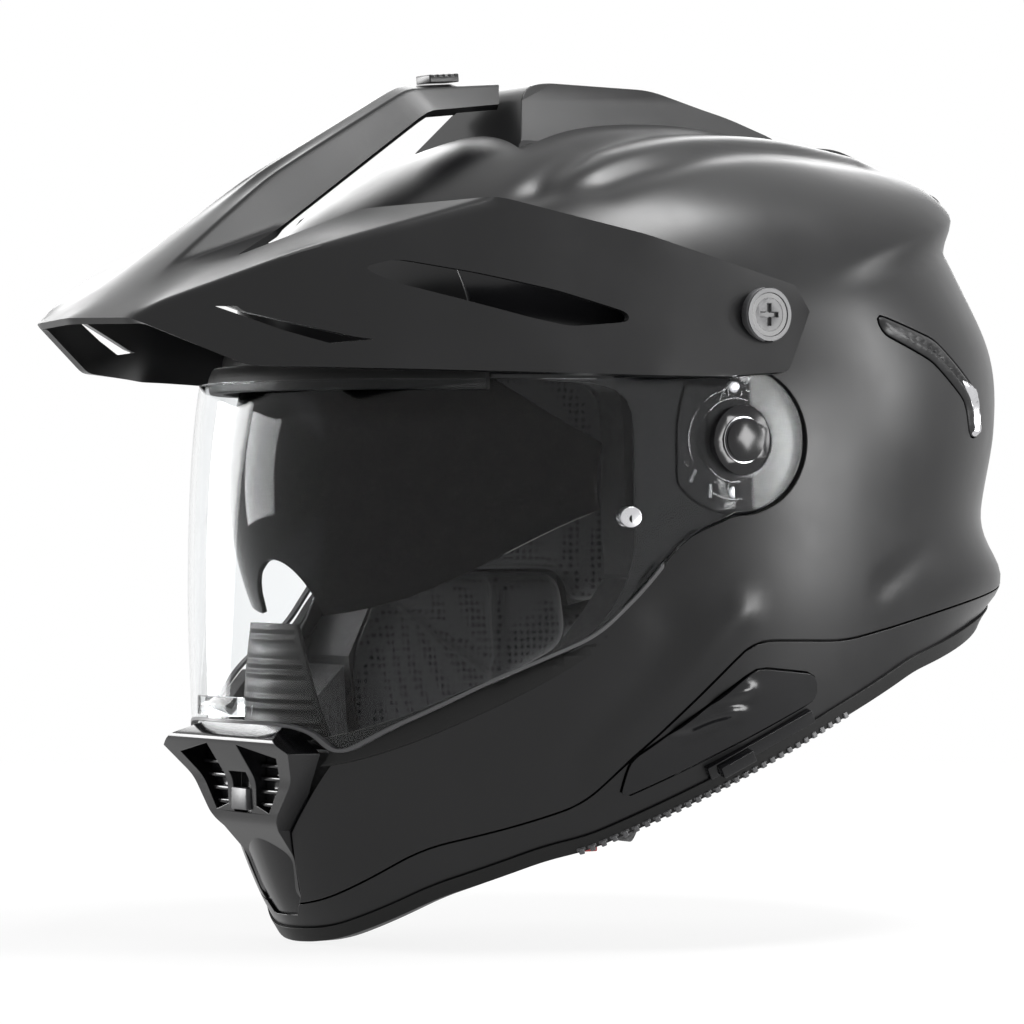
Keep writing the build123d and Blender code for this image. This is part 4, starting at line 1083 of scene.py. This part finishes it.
def ring_profile(inner, outer, low, high):
    return [(inner, low), (outer, low), (outer, high), (inner, high), (inner, low)]


def pivot_place(radius, degrees):
    turn = math.radians(degrees)
    return PIVOT[0] + radius * math.cos(turn), PIVOT[1] + radius * math.sin(turn)


def make_mechanism(name, side):
    """Ribs and studs of the shield's mechanism, seen through its clear arm."""
    face = plate_face(f"shield_base_plate_{name}", side)
    level = 0.0008

    def rib(a, b, width, height):
        """A bar between two places, in a list that is empty where the plate has no level face."""
        a, b = pivot_place(*a), pivot_place(*b)
        xa, xb = face(*a), face(*b)
        if xa is None or xb is None or abs(xa - xb) > level:
            return []
        a, b = Vector((side * xa, *a)), Vector((side * xb, *b))
        return [beam((a + b) / 2, b - a, (1, 0, 0), ((b - a).length + width * 0.3, width, height))]

    ribs, studs = [], []
    arc, spoke, skew = 8, 20, 6  # degrees
    for radius, start, stop in ((0.0152, 0, 360), (0.0188, 20, 200), (0.0215, 200, 385)):
        for turn in range(start, stop, arc):
            ribs += rib((radius, turn), (radius, turn + arc), 0.0009, 0.001)
    for turn in range(0, 360, spoke):
        ribs += rib((0.016, turn), (0.0182, turn), 0.0008, 0.0008)
    for turn in (150, 172, 214, 236):
        studs += rib((0.0195, turn), (0.0235, turn + skew), 0.0016, 0.0012)
    settle(many(f"mechanism_ribs_{name}", "gloss_black", ribs, 0.0002), "helmet")
    settle(many(f"mechanism_studs_{name}", "grey_plastic", studs, 0.0003), "helmet")


def make_pivot_details():
    """The mechanism, rings laid on the hubs and the peak's fasteners, and a dark disc on each lens pin that
    is painted shade for its recess.
    """
    cap_place = FASTENER[0] + 0.0064, FASTENER[1] + 0.003
    pin_place = PIN[0] - 0.0004, PIN[1] - 0.0008
    for name, side in SIDES:
        make_mechanism(name, side)
        fastener = f"fastener_{name}"
        # piece, slot, node under it, where that is measured, centre, radii, sink, rise, bevel, body
        rings = (
            ("hub_ring", "steel", f"shield_hub_{name}", pivot_place(0.007, 60), PIVOT, 0.0062, 0.0086,
             0.0002, 0.0005, 0.0002, "shield"),
            ("fastener_rim", "grey_plastic", f"peak_{fastener}", cap_place, FASTENER, 0.008, 0.0096,
             0.0003, 0.0005, 0.0001, fastener),
            ("fastener_groove", "gloss_black", f"peak_{fastener}", cap_place, FASTENER, 0.006, 0.0079,
             0.0003, 0.0001, 0.0001, fastener),
        )
        for piece, slot, node, place, centre, inner, outer, sink, rise, bevel, body in rings:
            face = plate_face(node, side)(*place)
            profile = ring_profile(inner, outer, face - sink, face + rise)
            settle(lathe(f"{piece}_{name}", slot, profile, centre, side, 64, bevel), body)
        # A gloss black disc on each lens pin: painted shade in place of the pin's recess
        face = plate_face("lens_pins", side)(*pin_place)
        disc = ring_profile(0.0, 0.0015, face - 0.0003, face + 0.00015)[:-1]
        centre = PIN[0] + 0.0006, PIN[1] - 0.0006
        settle(lathe(f"pin_recess_painted_shade_{name}", "gloss_black", disc, centre, side, 32, 0), "shield")


def sun_visor_layer(wall, columns, rows):
    """Places on the visor's round wall, at a depth; an arch for the nose is cut in its lower edge."""
    points = []
    inset, corner_lift = 0.4, 10.0  # degrees
    end, steepest = SUN_END * 0.985, 0.99
    nose_low = SUN_RADIUS * math.sin(math.radians(SUN_LOW))
    for share in np.linspace(-0.5, 0.5, columns + 1):
        x = end * math.sin(math.pi * share)
        round_share = 1 - (abs(x) / SUN_HALF) ** SUN_SQUARENESS
        reach = SUN_RADIUS * round_share ** (1 / SUN_SQUARENESS) - wall
        low = math.radians(SUN_LOW + inset)
        if abs(x) < NOSE_RADIUS:
            rise = math.sqrt(NOSE_RADIUS**2 - x * x)
            low = max(low, math.asin(min(steepest, (nose_low + rise) / reach)))
        corner = corner_lift * (abs(x) / SUN_END) ** 6
        low += math.radians(corner)
        high = math.radians(SUN_HIGH - inset - corner)
        for turn in np.linspace(low, high, rows + 1):
            points.append((x, SUN_PIVOT[0] - reach * math.cos(turn), SUN_PIVOT[1] + reach * math.sin(turn)))
    return points


def make_sun_visor():
    columns, rows = 120, 44
    outer, inner = (sun_visor_layer(wall, columns, rows) for wall in (0.0, SUN_WALL))
    faces = walled(grid_faces(columns, rows), len(outer))
    piece = make_piece("sun_visor_lens", "smoke_visor", np.array(outer + inner), faces, 0.0005)
    settle(piece, "inner_visor", "sun_visor")


# Lining


def pillow(panel, depth, wall, radius, channels=()):
    """Outer and inner places of a crowned pad: thin at its border, full inside, pinched at channels."""
    thinnest, border, pinch, pinch_width = 0.02, 0.18, 0.45, 0.0028
    share = 1 - np.clip(1 - panel.edge_distance() / radius, 0, 1) ** 2
    full = np.sqrt(np.clip(share, thinnest, 1))
    points = panel.at(depth)
    for channel in channels:
        full = full * (1 - ridge(channel(points), pinch, pinch_width))
    near = wall * border * (1 - np.sqrt(share))
    far = near + (wall - near) * full
    return [panel.at(tuple(d + deeper for d in three_ways(depth))) for deeper in (near, far)]


def make_crown_pad():
    pad = Panel(SKIN, 110, 200, (3.0, 13.0), depth=PAD)
    pad.keep(within(outside(FOAM_EDGE, 0.01)))
    channels = [
        lambda p: np.abs(p[:, 0]) - 0.03,
        beyond(lengthwise, 0.075),
        beyond(lengthwise, -0.055),
        beyond(upright, 0.02),
    ]
    walls = pillow(pad, PAD, PAD_WALL, 0.007, channels)
    pad.solid("crown_lining", "lining_fabric", *walls, 0, "crown_pad")


def make_cheek_pads():
    channels = [lambda p: p[:, 1] * 0.55 + p[:, 2] + 0.058, beyond(lengthwise, 0.01)]
    for name, side in SIDES:
        pad = Panel(SKIN, 100, 110, (1.0, 5.6), side_turns(side, 0.2, math.pi - 0.2), PAD)
        pad.keep(within(outside(CHEEK, 0.01)))
        walls = pillow(pad, PAD, PAD_WALL, 0.008, channels)
        piece = pad.solid(f"cheek_lining_{name}", "lining_fabric", *walls, 0, f"cheek_pad_{name}")


def make_neck_roll():
    depth, wall, radius = 0.0044, 0.03, 0.009
    roll = Panel(SKIN, 90, 170, (2.5, 7.0), (math.pi / 2 - 0.3, 1.5 * math.pi + 0.3), depth)
    roll.keep(within(outside(NECK)))
    walls = pillow(roll, depth, wall, radius)
    roll.solid("neck_lining", "lining_fabric", *walls, 0, "neck_roll")


def make_breath_guard():
    depth, inner, border, sink = 0.014, 0.0166, 0.004, 0.0009
    rib, pitch = 0.0007, 0.0042
    heights, half_widths = (-0.086, -0.04), (0.033, 0.017)
    guard = Panel(SKIN, 90, 120, (1.5, 5.5), (-0.9, 0.9), depth)
    guard.keep(
        within(outside(GUARD, 0.006)),
        lambda p: np.interp(p[:, 2], heights, half_widths) - np.abs(p[:, 0]),
    )
    ribs = rib * np.cos(guard.at(depth)[:, 2] / pitch * 2 * math.pi)
    edge = np.clip(guard.edge_distance() / border, 0, 1)
    outer = guard.at(depth + sink - ribs * edge)
    guard.solid("breath_guard_ribbed", "black_rubber", outer, inner, 0.0005, "breath_guard")


def make_chin_curtain():
    """A strip of cloth under the chin, sagging between its hems."""
    columns, rows, reach, tries = 96, 14, 1.15, 6
    hem, width, thickness, lift = 0.005, 0.031, 0.0012, 0.0008
    fold_depth, fold_turns, sag_depth, sag_share = 0.0012, 17, 0.0045, 1.15
    ys, zs = zip(*map(scaled, CURTAIN))
    points = []
    for u in np.linspace(0, 1, rows + 1):
        for turn in np.linspace(-reach, reach, columns + 1):
            z = zs[0]
            for _ in range(tries):
                row = np.interp(z, SKIN[:, 0], range(len(SKIN)))
                spot = surface(SKIN, np.array([(row, turn)]), hem + width * u)[0]
                z = float(np.interp(spot[1], ys, zs))
            fold = fold_depth * math.sin(turn * fold_turns) * math.sin(math.pi * u)
            sag = sag_depth * math.sin(math.pi * min(1.0, u * sag_share)) + fold
            points.append((spot[0], spot[1], z - sag + lift))
    piece = make_piece("curtain_cloth", "lining_fabric", np.array(points), grid_faces(rows, columns), 0)
    thick = piece.modifiers.new("cloth", "SOLIDIFY")
    thick.thickness, thick.offset = thickness, 0.0
    bake(piece)
    settle(piece, "helmet", "chin_curtain")


# The peak


def peak_mesh():
    """The peak's cage, both halves, with its creases marked."""
    points = [Vector((x * HALF_WIDTH, y * FRONT, z * CROWN)) for x, y, z in PEAK_POINTS]
    points += [Vector((skin_x(y, z) + TAIL_LIFT, y, z)) for y, z in (scaled(p) for p in TAIL)]
    count = len(points)
    twin = [i if abs(p.x) < 1e-9 else i + count for i, p in enumerate(points)]
    points += [Vector((-p.x, p.y, p.z)) for p in points]
    faces = [list(f) for f in PEAK_FACES] + [[twin[i] for i in reversed(f)] for f in PEAK_FACES]
    mesh = bpy.data.meshes.new("peak_skin")
    mesh.from_pydata(points, [], faces)
    cage = bmesh.new()
    cage.from_mesh(mesh)
    loose = [v for v in cage.verts if not v.link_faces]
    bmesh.ops.delete(cage, geom=loose, context="VERTS")
    bmesh.ops.recalc_face_normals(cage, faces=cage.faces)
    crease = cage.edges.layers.float.new("crease_edge")
    pin = cage.verts.layers.float.new("crease_vert")
    for edge in cage.edges:
        sharp = edge.is_boundary or edge.calc_face_angle(0) > SHARP_ANGLE
        edge[crease] = 1.0 if edge.is_boundary else (FOLD_CREASE if sharp else 0.0)
    for corner in cage.verts:
        corner[pin] = EDGE_PIN if corner.is_boundary else CORNER_PIN
    cage.to_mesh(mesh)
    cage.free()
    return mesh


def make_peak():
    peak = new_object("peak_skin", peak_mesh())
    smooth = peak.modifiers.new("smooth", "SUBSURF")
    smooth.levels = smooth.render_levels = 4
    thick = peak.modifiers.new("wall", "SOLIDIFY")
    thick.thickness, thick.offset = PEAK_WALL, -1.0
    bake(peak)
    for side in (1, -1):
        for shares, radius, low in ((SLOT, 0.004, 0.5), (GROOVE, 0.0008, 0.36)):
            ends = side * low * HALF_WIDTH, side * 2 * HALF_WIDTH
            cutter = prism("slot", rounded(shares, radius), *ends, 0)
            combine(peak, cutter, "DIFFERENCE")
    dress(peak, "matte_black")
    round_edges(peak, 0.0008, 2, 42)
    settle(peak, "helmet", "peak")


# Vents


def make_chin_vent():
    block = housing("chin_vent_body", VENT_SIDE, VENT_FRONT, 0.003)
    for side in (1, -1):
        ring = [(side * x, z) for x, z in (front_scaled(p) for p in INLET)]
        combine(block, prism("pocket", ring, -2 * FRONT, INLET_BACK, 1), "DIFFERENCE")
    half, low, high = SHUTTER_CHANNEL
    ring = [(-half, low), (half, low), (half, high), (-half, high)]
    combine(block, prism("channel", ring, -2 * FRONT, SHUTTER_BACK, 1), "DIFFERENCE")
    finish_block(block, "gloss_black", 0.0009, 3, "chin_vent_housing")


def make_top_vents():
    vents = ("top", TOP_SIDE, TOP_FRONT, 0.006), ("rear", REAR_SIDE, REAR_FRONT, 0.005)
    for name, side, front, radius in vents:
        block = housing(f"{name}_vent_body", side, front, radius)
        finish_block(block, "matte_black", 0.0028, 4, f"{name}_vent_housing")


make_camera()
make_stage(cad_box[0][2] - FLOOR_GAP)
make_lights()
make_shell()
make_skirt()
make_backings()
make_rim_trim()
make_rim_teeth()
make_pods()
make_exhaust_trims()
make_gasket()
make_shield()
make_shield_edge_highlight()
make_pivot_details()
make_sun_visor()
make_crown_pad()
make_cheek_pads()
make_neck_roll()
make_breath_guard()
make_chin_curtain()
make_peak()
make_chin_vent()
make_top_vents()
for node, thing in frame["nodes"].items():
    for holder in thing.material_slots:
        holder.material = FINISH[NODE_SLOT[node]]
    if NODE_SLOT[node] != "foam_black" and not thing.hide_render:
        refine(node)

view = bpy.context.scene.view_settings
view.view_transform = "Standard"
